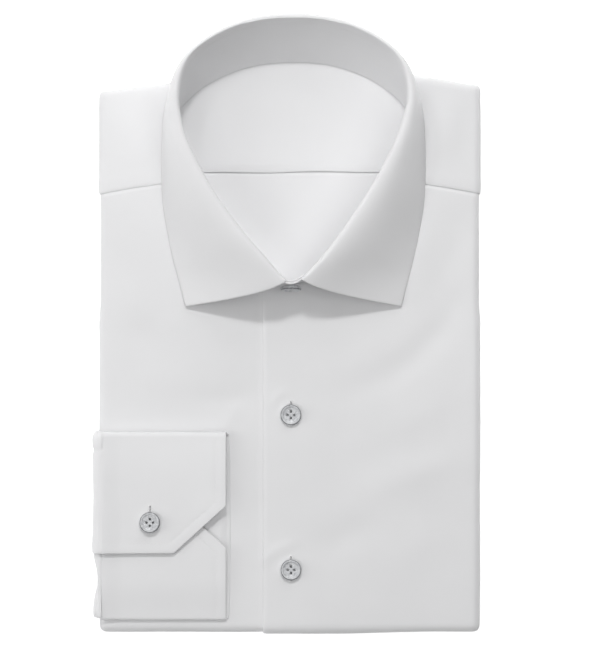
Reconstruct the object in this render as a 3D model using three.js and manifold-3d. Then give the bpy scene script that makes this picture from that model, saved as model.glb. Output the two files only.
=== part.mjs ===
// A dress shirt, buttoned and folded flat, lying on its back with one cuff laid on the front.
//
// Millimetres, +Z up. While it is built, x = 0 is the line of the front buttons, y = 0 the bottom fold and
// z = 0 the surface it lies on; the collar points to +Y. The group is then moved so that its origin is the
// middle of the underside.
//
// A panel is a wall of cloth laid over a mid-surface: flat on top, and rolled round the folded edges. The
// hidden layers are one solid, the core, stepped at its edges like the folds of a pile of cloth.
import * as THREE from "three";
import { mergeVertices } from "three/addons/utils/BufferGeometryUtils.js";
import Module from "manifold-3d";

const wasm = await Module();
wasm.setup();
const { clamp, lerp, smoothstep } = THREE.MathUtils;
const vec = (x, y, z) => new THREE.Vector3(x, y, z);

// ---- driving sizes ----
const GAP = 0.3; // between neighbouring pieces
const CLOTH = 1.2; // wall of a plain panel
const COLLAR_WALL = 1.6; // two layers and the interlining
const CUFF_WALL = 2;
const FOLD_R = 6.35; // mid-surface radius of the fold round the edges of the top layer
const EDGE = FOLD_R + CLOTH / 2; // from the line where a panel starts to turn down to its outline
const TOP_Z = 25.4; // mid-surface of the top layer
const FOLD_Z = TOP_Z - FOLD_R; // height of the axis of the edge fold
const CORNER_POWER = 4; // how square the corners are in plan; 2 would be round
const TURN_END = 0.93 * Math.PI; // how far a panel turns under before it is hidden
const FOLD_STEPS = 6; // facets of a panel round the fold

const LEFT_X = -110.4; // outline of the folded body
const LEFT_LEAN = -0.6; // how much further out it is at the shoulder
const RIGHT_X = 108.9;
const RIGHT_LEAN = 0.7;
const BODY_LENGTH = 320;
// the sleeve presses a dent into the left edge
const DENT = { y: 31, halfLength: 10, depth: 3, closeUpTo: 72 };
// top outline, arched up behind the collar
const TOP_OUTLINE = [
  { x: -111, y: 311.3 },
  { x: -90, y: 314.2 },
  { x: -70, y: 316.6 },
  { x: -45, y: 326 },
  { x: 0, y: 336 },
  { x: 45, y: 329.5 },
  { x: 70, y: 321.7 },
  { x: 90, y: 318.3 },
  { x: 110, y: 314.5 },
];
// the front shoulder seam: y at the middle, and how much lower it is at the outline
const SHOULDER_SEAM = { y: 259, drop: 7, halfWidth: 110, power: 4 };

// the placket: its folded edge, the lift over the button band, and where the lift has faded
const PLACKET = { edge: -16.1, lift: 1.5, flatTo: 16, fadedAt: 26, bandEnd: 14 };

// the collar, from the middle of the front to the middle of the back; x is from the collar's own middle line
const COLLAR_X = 1.4;
const COLLAR = [
  // seam with the body | crest of the fold | edge of the leaf | how far both crests lean to the left
  { seam: [5, 202, 27.9], fold: [5, 202.4, 54], leaf: [62, 187.5, 28.2], sway: 0 },
  { seam: [19.5, 207, 27.8], fold: [16.3, 212.7, 56], leaf: [66, 203, 27.5], sway: 0 },
  { seam: [35, 220.5, 26.5], fold: [28.8, 227.2, 57.5], leaf: [69.5, 216, 27.3], sway: 0.5 },
  { seam: [51.8, 240.9, 26.35], fold: [43.6, 247.7, 59], leaf: [73, 233, 27.3], sway: 1.2 },
  { seam: [64.3, 259.5, 26.35], fold: [53.7, 264.7, 60], leaf: [75.3, 249, 27.3], sway: 1.2 },
  { seam: [72.3, 276, 26.35], fold: [62, 282.2, 61], leaf: [76, 270, 27.3], sway: 1.1 },
  { seam: [72.5, 289, 26.35], fold: [66, 296.2, 61.5], leaf: [75.5, 284, 27.3], sway: 0.6 },
  { seam: [66.3, 300.5, 26.35], fold: [67.3, 307.4, 62], leaf: [74.8, 296, 27.3], sway: 0.1 },
  { seam: [58, 310, 26.35], fold: [65.1, 320.6, 62], leaf: [72, 308.3, 27.3], sway: 0 },
  { seam: [46.5, 318, 26.35], fold: [59.1, 331.4, 62], leaf: [67, 318.6, 26.9], sway: 0 },
  { seam: [35, 323.4, 26.35], fold: [47.9, 340.4, 62], leaf: [57.8, 330.5, 23], sway: 0 },
  { seam: [22, 327.2, 26.35], fold: [33, 347.6, 62], leaf: [44.8, 340, 20], sway: 0 },
  { seam: [9.5, 328.8, 26.35], fold: [17, 351.6, 62], leaf: [26, 347.8, 18], sway: 0 },
  { seam: [0, 329.1, 26.35], fold: [0, 352.6, 62], leaf: [0, 350.2, 17.5], sway: 0 },
];
const STATIONS = 2 * COLLAR.length - 1; // round the whole collar
// the leaf's roll over the stand's top edge: how far in and below the crest that edge is, the gap to it,
// and how far the roll carries outwards; then where the leaf is settled, as shares of its fall
const ROLL = { inset: 2, drop: 3.2, clear: 1.8 * GAP, lead: 3.2, leadShare: 0.08, outward: 8 };
const SETTLED = { across: 0.35, down: 0.12 };
const STAND_OVERLAP = 1.15; // stations that each end runs past the middle of the front
const STAND_HEIGHT = 35; // about, along its slope
const STAND_STEP = 1.05; // half the distance between its two overlapping ends
const NECK_WIDEST_Y = 285; // the first row past it is the widest part of the neck
const NECK_HOLE = { share: 0.985, sides: 64, depth: 20 }; // of the seam's outline, through the top layer

// inside of the neck: the back's inner face sinks between the shoulders
const DISH = { rim: 23.9, depth: 5.5, front: 198.5, seam: 265, margin: 4, backRim: 25.1 };
const DISH_ROOM = { grow: 0.012, height: 12 }; // room over it in the core: share it is larger by, and height

// the cuff, a flattened tube: heights of its three layers, its rolls, and the mitred ends
const CUFF = {
  left: -108.9, right: -37.2, lowerRight: -34.8,
  lowerZ: 27.3, underZ: 30.1, upperZ: 32.9,
  bottom: 7.2, top: 115.6, underEnd: 76.3, upperEnd: 45.4,
  mitreLength: 27.6, mitreWidth: 30.5,
};

// the sleeve round the left edge: outer and inner line of its section, dx from the outline
const SLEEVE = { low: 8.4, high: 116, follow: 2 };
const SLEEVE_LINES = [
  { outer: [1.4, 33.6], inner: [1.4, 26.6] },
  { outer: [-0.6, 33], inner: [0.3, 25.9] },
  { outer: [-2.4, 31], inner: [-0.1, 24.2] },
  { outer: [-3.6, 27.6], inner: [-0.4, 21.5] },
  { outer: [-3.9, 22], inner: [-0.45, 17.5] },
  { outer: [-3.8, 14], inner: [-0.45, 12] },
  { outer: [-3.7, 7], inner: [-0.45, 7.5] },
  { outer: [-3.2, 2.6], inner: [-0.3, 5] },
  { outer: [-1.4, 0.4], inner: [0.9, 3.7] },
  { outer: [2, 0], inner: [3.5, 3.3] },
  { outer: [14, 0], inner: [14, 3.1] },
  { outer: [30, 0], inner: [30, 3.1] },
];

// edge of the core from the underside up: three folded layers, a groove, and the block under the top layer
const CORE_EDGE = [
  { reach: 4, z: 0 },
  { reach: 6.4, z: 1.4 },
  { reach: 6.2, z: 3.2 },
  { reach: 4.8, z: 4 },
  { reach: 6.5, z: 4.9 },
  { reach: 6.4, z: 7 },
  { reach: 5, z: 7.9 },
  { reach: 6.3, z: 8.9 },
  { reach: 6, z: 11 },
  { reach: 4.4, z: 11.7 },
  { reach: 0.3, z: 11.8 },
];
const CORE_R = FOLD_R - CLOTH / 2 - 1.5 * GAP; // of the block's rounded edge

// four-hole button: radius and height up its profile
const BUTTON_PROFILE = [
  [0, 0], [5.1, 0], [5.8, 0.5], [6, 1.1], [5.9, 1.9], [5.4, 2.5], [4.8, 2.45], [4.1, 1.85], [0, 1.7],
];
const BUTTON_HOLE = { radius: 0.8, spread: 1.9 };
const FRONT_BUTTONS_Y = [125.3, 36.1];
const CUFF_BUTTON = { x: -80.9, y: 63.4 };
const COLLAR_BUTTON = { z: 39.5, tilt: 0.105 };

// ---- materials ----
const cotton = new THREE.MeshStandardMaterial({ color: 0xe9e9ea, roughness: 0.86, metalness: 0 });
const lining = new THREE.MeshStandardMaterial({ color: 0xe4e4e6, roughness: 0.86, metalness: 0 });
const shell = new THREE.MeshStandardMaterial({ color: 0xa9a9ac, roughness: 0.32, metalness: 0 });

// ---- general tools ----

/** A closed geometry from points and triangles, turned so that its faces point out. */
function closed(points, triangles) {
  const [b, c] = [vec(), vec()];
  const volume = triangles.reduce(
    (sum, [i, j, k]) => sum + points[i].dot(b.copy(points[j]).cross(c.copy(points[k]))),
    0,
  );
  const faces = volume < 0 ? triangles.map(([i, j, k]) => [i, k, j]) : triangles;
  return new THREE.BufferGeometry().setFromPoints(points).setIndex(faces.flat());
}

/** A wall of the given thickness, half on each side of a grid of mid-surface points, or measured upright. */
function clothWall(columns, rows, point, thickness, upright = false) {
  const middle = [];
  for (let i = 0; i <= columns; i++) {
    middle.push(Array.from({ length: rows + 1 }, (_, j) => point(i, j)));
  }
  const at = (i, j) => middle[clamp(i, 0, columns)][clamp(j, 0, rows)];
  const points = [];
  for (const side of [1, -1]) {
    for (let i = 0; i <= columns; i++) {
      for (let j = 0; j <= rows; j++) {
        const across = at(i + 1, j).clone().sub(at(i - 1, j));
        const along = at(i, j + 1).clone().sub(at(i, j - 1));
        const normal = upright ? vec(0, 0, 1) : across.cross(along).normalize();
        points.push(at(i, j).clone().addScaledVector(normal, (side * thickness) / 2));
      }
    }
  }
  const layer = (columns + 1) * (rows + 1);
  const id = (i, j) => i * (rows + 1) + j;
  const triangles = [];
  const quad = (a, b, c, d) => triangles.push([a, b, c], [a, c, d]);
  for (let i = 0; i < columns; i++) {
    for (let j = 0; j < rows; j++) {
      quad(id(i, j), id(i + 1, j), id(i + 1, j + 1), id(i, j + 1));
      quad(layer + id(i, j), layer + id(i, j + 1), layer + id(i + 1, j + 1), layer + id(i + 1, j));
    }
  }
  const border = (a, b) => quad(b, a, layer + a, layer + b);
  for (let i = 0; i < columns; i++) {
    border(id(i, 0), id(i + 1, 0));
    border(id(i + 1, rows), id(i, rows));
  }
  for (let j = 0; j < rows; j++) {
    border(id(columns, j), id(columns, j + 1));
    border(id(0, j + 1), id(0, j));
  }
  return closed(points, triangles);
}

/** A solid through a stack of rings of as many points each, its ends closed by fans or by each other. */
function loft(rings, ends = "capped") {
  const count = rings[0].length;
  const points = rings.flat();
  const triangles = [];
  const last = ends === "joined" ? rings.length : rings.length - 1;
  for (let k = 0; k < last; k++) {
    const [low, high] = [k * count, ((k + 1) % rings.length) * count];
    for (let i = 0; i < count; i++) {
      const next = (i + 1) % count;
      triangles.push([low + i, low + next, high + next], [low + i, high + next, high + i]);
    }
  }
  if (ends === "capped") {
    for (const k of [0, rings.length - 1]) {
      const middle = rings[k].reduce((sum, p) => sum.add(p), vec()).divideScalar(count);
      points.push(middle);
      for (let i = 0; i < count; i++) {
        const pair = [k * count + i, k * count + ((i + 1) % count)];
        triangles.push(k === 0 ? [points.length - 1, pair[1], pair[0]] : [points.length - 1, ...pair]);
      }
    }
  }
  return closed(points, triangles);
}

/** The manifold solid of a closed geometry. */
function solid(geometry) {
  const bare = geometry.clone();
  bare.deleteAttribute("normal");
  bare.deleteAttribute("uv");
  const merged = mergeVertices(bare, 1e-4);
  const index = [...merged.index.array];
  const kept = [];
  for (let k = 0; k < index.length; k += 3) {
    const [a, b, c] = index.slice(k, k + 3);
    if (a !== b && b !== c && c !== a) kept.push(a, b, c);
  }
  const vertProperties = new Float32Array(merged.attributes.position.array);
  return new wasm.Manifold(new wasm.Mesh({ numProp: 3, vertProperties, triVerts: new Uint32Array(kept) }));
}

/** The geometry of a manifold solid. */
function geometryOf(body) {
  const { vertProperties, triVerts } = body.getMesh();
  return new THREE.BufferGeometry()
    .setAttribute("position", new THREE.BufferAttribute(vertProperties, 3))
    .setIndex(new THREE.BufferAttribute(triVerts, 1));
}

/** Straight-line interpolation in a table of {x, y} rows that goes up in x. */
function lookUp(table, x) {
  const k = clamp(table.findIndex((row) => row.x >= x), 1, table.length - 1);
  const [a, b] = [table[k - 1], table[k]];
  return lerp(a.y, b.y, clamp((x - a.x) / (b.x - a.x), 0, 1));
}

/** A unit of direction on the square-shouldered corner curve. */
function cornerDirection(x, y) {
  const norm = (Math.abs(x) ** CORNER_POWER + Math.abs(y) ** CORNER_POWER) ** (1 / CORNER_POWER);
  return new THREE.Vector2(x / norm, y / norm);
}

// ---- the folded body ----
const topCurve = new THREE.SplineCurve(TOP_OUTLINE.map((p) => new THREE.Vector2(p.x, p.y)));
const topTable = topCurve.getPoints(64);
const topEdge = (x) => lookUp(topTable, clamp(x, TOP_OUTLINE[0].x, TOP_OUTLINE.at(-1).x));
const dent = (y) => DENT.depth * Math.exp(-(((y - DENT.y) / DENT.halfLength) ** 2));
const leftEdge = (y) => LEFT_X + (LEFT_LEAN * y) / BODY_LENGTH + dent(y);
const rightEdge = (y) => RIGHT_X + (RIGHT_LEAN * y) / BODY_LENGTH;
const seamY = (x) => {
  const out = clamp(Math.abs(x) / SHOULDER_SEAM.halfWidth, 0, 1);
  return SHOULDER_SEAM.y - SHOULDER_SEAM.drop * out ** SHOULDER_SEAM.power;
};

/** The mid-surface of the top layer: u and v are x and y on the flat, and lengths round the fold past it. */
function bodyPoint(u, v, lift = 0) {
  const level = clamp(v, 0, BODY_LENGTH);
  const x = clamp(u, leftEdge(level) + EDGE, rightEdge(level) - EDGE);
  const y = clamp(v, EDGE, topEdge(x) - EDGE);
  const run = Math.max(Math.abs(u - x), Math.abs(v - y));
  if (run === 0) return vec(x, y, TOP_Z + lift);
  const turn = run / FOLD_R;
  const radius = FOLD_R + (lift * (1 + Math.cos(turn))) / 2;
  const out = cornerDirection(u - x, v - y).multiplyScalar(radius * Math.sin(turn));
  return vec(x + out.x, y + out.y, FOLD_Z + radius * Math.cos(turn));
}

/** Lengths round the fold, from the first step to where the panel is hidden. */
const foldRun = Array.from({ length: FOLD_STEPS }, (_, i) => ((i + 1) / FOLD_STEPS) * TURN_END * FOLD_R);
const steps = (count) => Array.from({ length: count + 1 }, (_, i) => i / count);

/** Levels up the side of a front, closer together along the sleeve's dent. */
const sideLevels = [
  ...steps(12).map((t) => lerp(EDGE, DENT.closeUpTo, t)),
  ...steps(5).slice(1).map((t) => lerp(DENT.closeUpTo, SHOULDER_SEAM.y, t)),
];
const evenLevels = steps(9).map((t) => lerp(EDGE, SHOULDER_SEAM.y, t));
const placketLift = (x) => PLACKET.lift * (1 - smoothstep(x, PLACKET.flatTo, PLACKET.fadedAt));

/** Columns of a front as x at a given level: fixed, spread over the flat, or round the side fold. */
const fixed = (xs) => xs.map((x) => () => x);
const spread = (from, edge, side, count) =>
  steps(count).map((t) => (y) => lerp(from, edge(y) - side * EDGE, t));
const folded = (edge, side) => foldRun.map((run) => (y) => edge(y) + side * (run - EDGE));

/** A front, from its inner edge round the side fold, and from the bottom fold to the shoulder seam. */
function frontPanel(columns, levels, lift) {
  const point = (i, j) => {
    if (j < FOLD_STEPS) {
      const u = columns[i](0);
      return bodyPoint(u, EDGE - foldRun[FOLD_STEPS - 1 - j], lift(u));
    }
    const level = levels[j - FOLD_STEPS];
    const u = columns[i](level);
    const share = (level - EDGE) / (SHOULDER_SEAM.y - EDGE);
    return bodyPoint(u, lerp(EDGE, seamY(u) - GAP / 2, share), lift(u));
  };
  return solid(clothWall(columns.length - 1, FOLD_STEPS + levels.length - 1, point, CLOTH));
}

/** The shoulders of the yoke, from the front seam over the fold at the top. */
function yokeShoulders() {
  const [left, right] = [leftEdge(BODY_LENGTH) + EDGE, rightEdge(BODY_LENGTH) - EDGE];
  const across = [
    ...foldRun.map((run) => left - run).reverse(),
    ...steps(22).map((t) => lerp(left, right, t)),
    ...foldRun.map((run) => right + run),
  ];
  const flatRows = 4;
  const point = (i, j) => {
    const u = across[i];
    const start = seamY(u) + GAP / 2;
    const end = topEdge(u) - EDGE;
    return bodyPoint(u, j <= flatRows ? lerp(start, end, j / flatRows) : end + foldRun[j - flatRows - 1]);
  };
  return solid(clothWall(across.length - 1, flatRows + FOLD_STEPS, point, CLOTH));
}

// ---- the collar ----
const loops = Object.fromEntries(
  ["seam", "fold", "leaf"].map((key) => {
    const side = (facing) =>
      COLLAR.map((row) => {
        const [half, y, z] = row[key];
        const lean = key === "fold" ? row.sway : 0;
        return vec(COLLAR_X + facing * half - lean, y, z);
      });
    const [left, right] = [side(-1), side(1)];
    const round = [...left, ...right.slice(0, -1).reverse()];
    return [key, new THREE.CatmullRomCurve3(round, key !== "leaf", "catmullrom", 0.5)];
  }),
);
/** A point of one of the collar's lines; station 0 is left of the middle of the front, then round the back. */
const collarAt = (key, station) => loops[key].getPoint(station / (key === "leaf" ? STATIONS - 1 : STATIONS));

function outwardAt(station) {
  const along = collarAt("fold", station + 0.1).sub(collarAt("fold", station - 0.1));
  return vec(-along.y, along.x, 0).normalize();
}

/** The stand's mid-surface, from the seam at share 0 to its top edge at 1; its right end laps outside. */
function standPoint(station, share) {
  const outward = outwardAt(station);
  const top = collarAt("fold", station).addScaledVector(outward, -ROLL.inset);
  top.z -= ROLL.drop;
  const lap =
    smoothstep(station, STATIONS - 2 * STAND_OVERLAP, STATIONS - STAND_OVERLAP) -
    (1 - smoothstep(station, STAND_OVERLAP - 1, 2 * STAND_OVERLAP - 1));
  return collarAt("seam", station).lerp(top, share).addScaledVector(outward, lap * STAND_STEP);
}

function collarStand() {
  const [columns, rows] = [54, 3];
  const from = -STAND_OVERLAP;
  const to = STATIONS - 1 + STAND_OVERLAP;
  const point = (i, j) => {
    const station = lerp(from, to, i / columns);
    const p = standPoint(station, j / rows);
    const lean = standPoint(station, 1).sub(standPoint(station, 0)).setZ(0).length() / STAND_HEIGHT;
    if (j === 0) p.z += (COLLAR_WALL / 2) * lean;
    return p;
  };
  return solid(clothWall(columns, rows, point, COLLAR_WALL));
}

/** One section of the leaf: up from the stand, over the crest, and out to its edge. */
function leafSection(station, rollSteps, fallSteps) {
  const top = standPoint(station, 1);
  const up = top.clone().sub(standPoint(station, 0)).normalize();
  const start = top.clone().addScaledVector(up, ROLL.clear);
  const crest = collarAt("fold", station);
  const edge = collarAt("leaf", station);
  const over = start.clone().addScaledVector(up, (crest.z - start.z) / up.z);
  const fall = edge.clone().sub(crest);
  const spread = Math.hypot(fall.x, fall.y);
  const toward = vec(fall.x, fall.y, 0).addScaledVector(outwardAt(station), ROLL.outward).normalize();
  const lead = crest.clone().addScaledVector(toward, ROLL.lead + ROLL.leadShare * spread);
  const settle = edge.clone().addScaledVector(fall, -SETTLED.across);
  settle.z -= SETTLED.down * fall.z;
  const roll = new THREE.QuadraticBezierCurve3(start, over, crest).getPoints(rollSteps);
  return [...roll, ...new THREE.CubicBezierCurve3(crest, lead, settle, edge).getPoints(fallSteps).slice(1)];
}

function collarLeaf() {
  const [columns, rollSteps, fallSteps] = [44, 3, 6];
  const sections = Array.from({ length: columns + 1 }, (_, i) =>
    leafSection(((STATIONS - 1) * i) / columns, rollSteps, fallSteps),
  );
  return solid(clothWall(columns, rollSteps + fallSteps, (i, j) => sections[i][j], COLLAR_WALL));
}

/** The neck opening through the top layer: the seam's outline, a little inside the stand's inner face. */
function neckHole() {
  const { share, sides, depth } = NECK_HOLE;
  const outline = Array.from({ length: sides }, (_, i) => collarAt("seam", (STATIONS * i) / sides));
  const middle = outline.reduce((sum, p) => sum.add(p), vec()).divideScalar(outline.length);
  const shape = new THREE.Shape(
    outline.map((p) => new THREE.Vector2(lerp(middle.x, p.x, share), lerp(middle.y, p.y, share))),
  );
  const cutter = new THREE.ExtrudeGeometry(shape, { depth, bevelEnabled: false });
  return solid(cutter.translate(0, 0, TOP_Z - depth / 2));
}

// ---- inside of the neck ----
const widestRow = COLLAR.findIndex((row) => row.seam[1] > NECK_WIDEST_Y);
const neckHalf = COLLAR.slice(0, widestRow + 1).map((row) => ({ x: row.seam[1], y: row.seam[0] }));
const neckBack = COLLAR.slice(widestRow).map((row) => ({ x: row.seam[0], y: row.seam[1] })).reverse();
const FLOOR_Z = DISH.rim - DISH.depth;

/** The back's inner face below the yoke seam: side -1 to 1 across, share 0 to 1 from the front. */
function backPoint(side, share) {
  const y = lerp(DISH.front, DISH.seam - GAP / 2, share);
  const half = lookUp(neckHalf, y + DISH.margin) + DISH.margin;
  const depth = DISH.depth * smoothstep(y, DISH.front, DISH.front + 40);
  return vec(COLLAR_X + side * half, y, DISH.rim - depth * Math.max(1 - side ** 4, 0));
}

/** The yoke's inner face: up to the back of the neck, where it rises to meet the shoulders. */
function innerYokePoint(side, share) {
  const start = DISH.seam + GAP / 2;
  const half = lookUp(neckHalf, start + DISH.margin) + DISH.margin;
  const x = side * lerp(half, half - 6, share);
  const y = lerp(start, lookUp(neckBack, Math.abs(x)) + 1.5, share);
  const rim = lerp(DISH.rim, DISH.backRim, smoothstep(share, 0.3, 0.9));
  const rise = 1 - Math.max(1 - side ** 4, 0) * Math.max(1 - share ** 4, 0);
  return vec(COLLAR_X + x, y, lerp(FLOOR_Z, rim, rise));
}

/** The room over a surface of the neck's inside, cut out of the core with a gap under and round it. */
function roomOver(point, columns, rows) {
  const { grow, height } = DISH_ROOM;
  const middle = (i, j) => {
    const p = point(lerp(-1 - grow, 1 + grow, i / columns), lerp(-grow, 1 + grow, j / rows));
    p.z += height / 2 - CLOTH / 2 - GAP;
    return p;
  };
  return solid(clothWall(columns, rows, middle, height, true));
}

const [neckColumns, backRows, yokeRows] = [16, 7, 5];
const innerWall = (point, rows) => {
  const at = (i, j) => point(lerp(-1, 1, i / neckColumns), j / rows);
  return solid(clothWall(neckColumns, rows, at, CLOTH));
};

// ---- the core ----

/** Places round the core: a point on the line where the edge starts to turn, and the way out of it. */
function coreRim() {
  const rim = [];
  const cornerSteps = 4;
  const bottomLevel = EDGE;
  const corners = [
    [leftEdge(bottomLevel) + EDGE, bottomLevel],
    [rightEdge(bottomLevel) - EDGE, bottomLevel],
    [rightEdge(BODY_LENGTH) - EDGE, topEdge(rightEdge(BODY_LENGTH) - EDGE) - EDGE],
    [leftEdge(BODY_LENGTH) + EDGE, topEdge(leftEdge(BODY_LENGTH) + EDGE) - EDGE],
  ];
  const onSide = [
    (t) => [lerp(corners[0][0], corners[1][0], t), bottomLevel],
    (t) => {
      const y = lerp(bottomLevel, corners[2][1], t);
      return [rightEdge(y) - EDGE, y];
    },
    (t) => {
      const x = lerp(corners[2][0], corners[3][0], t);
      return [x, topEdge(x) - EDGE];
    },
    (t) => {
      const y = lerp(corners[3][1], bottomLevel, t);
      return [leftEdge(y) + EDGE, y];
    },
  ];
  const leftTop = corners[3][1];
  const leftShares = [leftTop, ...sideLevels.toReversed()].map((y) => (leftTop - y) / (leftTop - bottomLevel));
  const shares = [steps(8), steps(8), steps(22), leftShares];
  onSide.forEach((place, k) => {
    const facing = ((k - 1) * Math.PI) / 2;
    for (const share of shares[k]) {
      const [x, y] = place(share);
      rim.push({ x, y, out: new THREE.Vector2(Math.cos(facing), Math.sin(facing)) });
    }
    const [x, y] = corners[(k + 1) % 4];
    for (let i = 1; i < cornerSteps; i++) {
      const angle = facing + (i / cornerSteps) * (Math.PI / 2);
      rim.push({ x, y, out: cornerDirection(Math.cos(angle), Math.sin(angle)) });
    }
  });
  return rim;
}

function coreBlock() {
  const rim = coreRim();
  const ring = (reach, z) => rim.map((p) => vec(p.x + p.out.x * reach, p.y + p.out.y * reach, z));
  const rings = CORE_EDGE.map((row) => ring(row.reach, row.z));
  const turns = 5;
  for (let i = 0; i <= turns; i++) {
    const angle = (i / turns - 0.5) * Math.PI * 0.98;
    rings.push(ring(CORE_R * Math.cos(angle), FOLD_Z + CORE_R * Math.sin(angle)));
  }
  return solid(loft(rings));
}

// ---- the cuff and the sleeve ----

/** The strip's path across: y, z and the way along it from the nearer end. */
function cuffPath() {
  const half = CUFF_WALL / 2;
  const [lowR, highR] = [(CUFF.underZ - CUFF.lowerZ) / 2, (CUFF.upperZ - CUFF.lowerZ) / 2];
  const [low, high] = [CUFF.bottom + half + lowR, CUFF.top - half - highR];
  const path = [];
  const line = (from, to, z, steps, lower) => {
    for (let i = 0; i < steps; i++) path.push({ y: lerp(from, to, i / steps), z, lower });
  };
  const roll = (y, z, radius, facing) => {
    for (let i = 0; i < 7; i++) {
      const angle = (i / 7) * Math.PI;
      const [out, up] = [facing * radius * Math.sin(angle), -facing * radius * Math.cos(angle)];
      path.push({ y: y + out, z: z + up, lower: true });
    }
  };
  line(CUFF.underEnd, CUFF.underEnd - CUFF.mitreLength, CUFF.underZ, 3, false);
  line(CUFF.underEnd - CUFF.mitreLength, low, CUFF.underZ, 3, false);
  roll(low, CUFF.lowerZ + lowR, lowR, -1);
  line(low, high, CUFF.lowerZ, 6, true);
  roll(high, CUFF.lowerZ + highR, highR, 1);
  line(high, CUFF.upperEnd + CUFF.mitreLength, CUFF.upperZ, 4, false);
  line(CUFF.upperEnd + CUFF.mitreLength, CUFF.upperEnd, CUFF.upperZ, 3, false);
  path.push({ y: CUFF.upperEnd, z: CUFF.upperZ, lower: false });
  return path;
}

function cuffStrip() {
  const path = cuffPath();
  const columns = 6;
  const right = path.map(({ y, z, lower }, k) => {
    const end = k < path.length / 2 ? CUFF.underEnd : CUFF.upperEnd;
    const fromEnd = lower ? CUFF.mitreLength : Math.min(Math.abs(y - end), CUFF.mitreLength);
    const cut = CUFF.mitreWidth * (1 - fromEnd / CUFF.mitreLength);
    return (lower && z < CUFF.underZ - 1 ? CUFF.lowerRight : CUFF.right) - cut;
  });
  const point = (i, j) => vec(lerp(CUFF.left, right[j], i / columns), path[j].y, path[j].z);
  return solid(clothWall(columns, path.length - 1, point, CUFF_WALL));
}

/** One ring of the sleeve, inset into its wall; a negative inset makes it larger. */
function sleeveRing(line, station, inset) {
  const outer = new THREE.Vector2(...line.outer);
  const inner = new THREE.Vector2(...line.inner);
  const across = outer.clone().sub(inner).multiplyScalar(0.5);
  const radius = across.length() - inset;
  across.setLength(radius);
  const middle = outer.add(inner).multiplyScalar(0.5);
  const centre = (SLEEVE.low + SLEEVE.high) / 2;
  const straight = (SLEEVE.high - SLEEVE.low) / 2 - inset - radius;
  const follow = clamp((station - 1) / SLEEVE.follow, 0, 1);
  const ring = [];
  const add = (y, share) => {
    const edge = lerp(leftEdge(centre + 40), leftEdge(y), follow);
    ring.push(vec(edge + middle.x + across.x * share, y, middle.y + across.y * share));
  };
  const [roundSteps, straightSteps] = [4, 16];
  for (const facing of [1, -1]) {
    for (let i = 0; i <= roundSteps; i++) {
      const angle = (i / roundSteps) * Math.PI;
      add(centre + facing * (straight + radius * Math.sin(angle)), facing * Math.cos(angle));
    }
    for (let i = 1; i < straightSteps; i++) {
      add(centre + facing * straight * (1 - (2 * i) / straightSteps), -facing);
    }
  }
  return ring;
}

function sleeveTube() {
  const rings = (inset) => SLEEVE_LINES.map((line, k) => sleeveRing(line, k, inset));
  return solid(loft([...rings(0), ...rings(CLOTH).reverse()], "joined"));
}

/** The room for the sleeve beside and under the core, a little longer than the sleeve. */
function sleeveRoom() {
  const last = SLEEVE_LINES.at(-1);
  const beyond = { outer: [last.outer[0] + 3, last.outer[1]], inner: [last.inner[0] + 3, last.inner[1]] };
  const lines = [...SLEEVE_LINES.slice(3), beyond];
  return solid(loft(lines.map((line, k) => sleeveRing(line, k + 3, -1.5 * GAP))));
}

// ---- buttons ----
function buttonBody() {
  const profile = BUTTON_PROFILE.map(([r, z]) => new THREE.Vector2(r, z));
  let body = solid(new THREE.LatheGeometry(profile, 24).rotateX(Math.PI / 2));
  for (let k = 0; k < 4; k++) {
    const hole = new THREE.CylinderGeometry(BUTTON_HOLE.radius, BUTTON_HOLE.radius, 8, 8);
    hole.rotateX(Math.PI / 2);
    const angle = (k * Math.PI) / 2;
    hole.translate(BUTTON_HOLE.spread * Math.cos(angle), BUTTON_HOLE.spread * Math.sin(angle), 0);
    body = body.subtract(solid(hole));
  }
  return geometryOf(body);
}

// ---- assembly ----
const group = new THREE.Group();
function add(name, geometry, material) {
  const mesh = new THREE.Mesh(geometry, material);
  mesh.name = name;
  group.add(mesh);
  return mesh;
}

const hole = neckHole();
const shoulders = yokeShoulders().subtract(hole);

const leftColumns = [
  ...fixed([PLACKET.edge, -8, 0, 8, PLACKET.flatTo, 19, 22.5]),
  ...spread(PLACKET.fadedAt, rightEdge, 1, 6),
  ...folded(rightEdge, 1),
];
const rightColumns = [
  ...folded(leftEdge, -1).reverse(),
  ...spread(PLACKET.edge, leftEdge, -1, 6).reverse(),
  ...fixed([0, PLACKET.bandEnd]),
];
const leftFront = frontPanel(leftColumns, evenLevels, placketLift).subtract(hole);
const bandWidth = PLACKET.bandEnd - PLACKET.edge;
const underPlacket = new THREE.BoxGeometry(2 * bandWidth, 2 * (EDGE + GAP), 100);
underPlacket.translate(PLACKET.edge - GAP + bandWidth, 0, 0);
const rightFront = frontPanel(rightColumns, sideLevels, () => 0).subtract(solid(underPlacket)).subtract(hole);

const core = coreBlock()
  .subtract(roomOver(backPoint, neckColumns, backRows))
  .subtract(roomOver(innerYokePoint, neckColumns, yokeRows))
  .subtract(sleeveRoom());

add("core", geometryOf(core), lining);
add("back", geometryOf(innerWall(backPoint, backRows)), lining);
add("yoke", geometryOf(shoulders.add(innerWall(innerYokePoint, yokeRows))), cotton);
add("front_right", geometryOf(rightFront), cotton);
add("front_left", geometryOf(leftFront), cotton);
add("collar_stand", geometryOf(collarStand()), cotton);
add("collar_leaf", geometryOf(collarLeaf()), cotton);
add("cuff", geometryOf(cuffStrip()), cotton);
add("sleeve", geometryOf(sleeveTube()), cotton);

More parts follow.
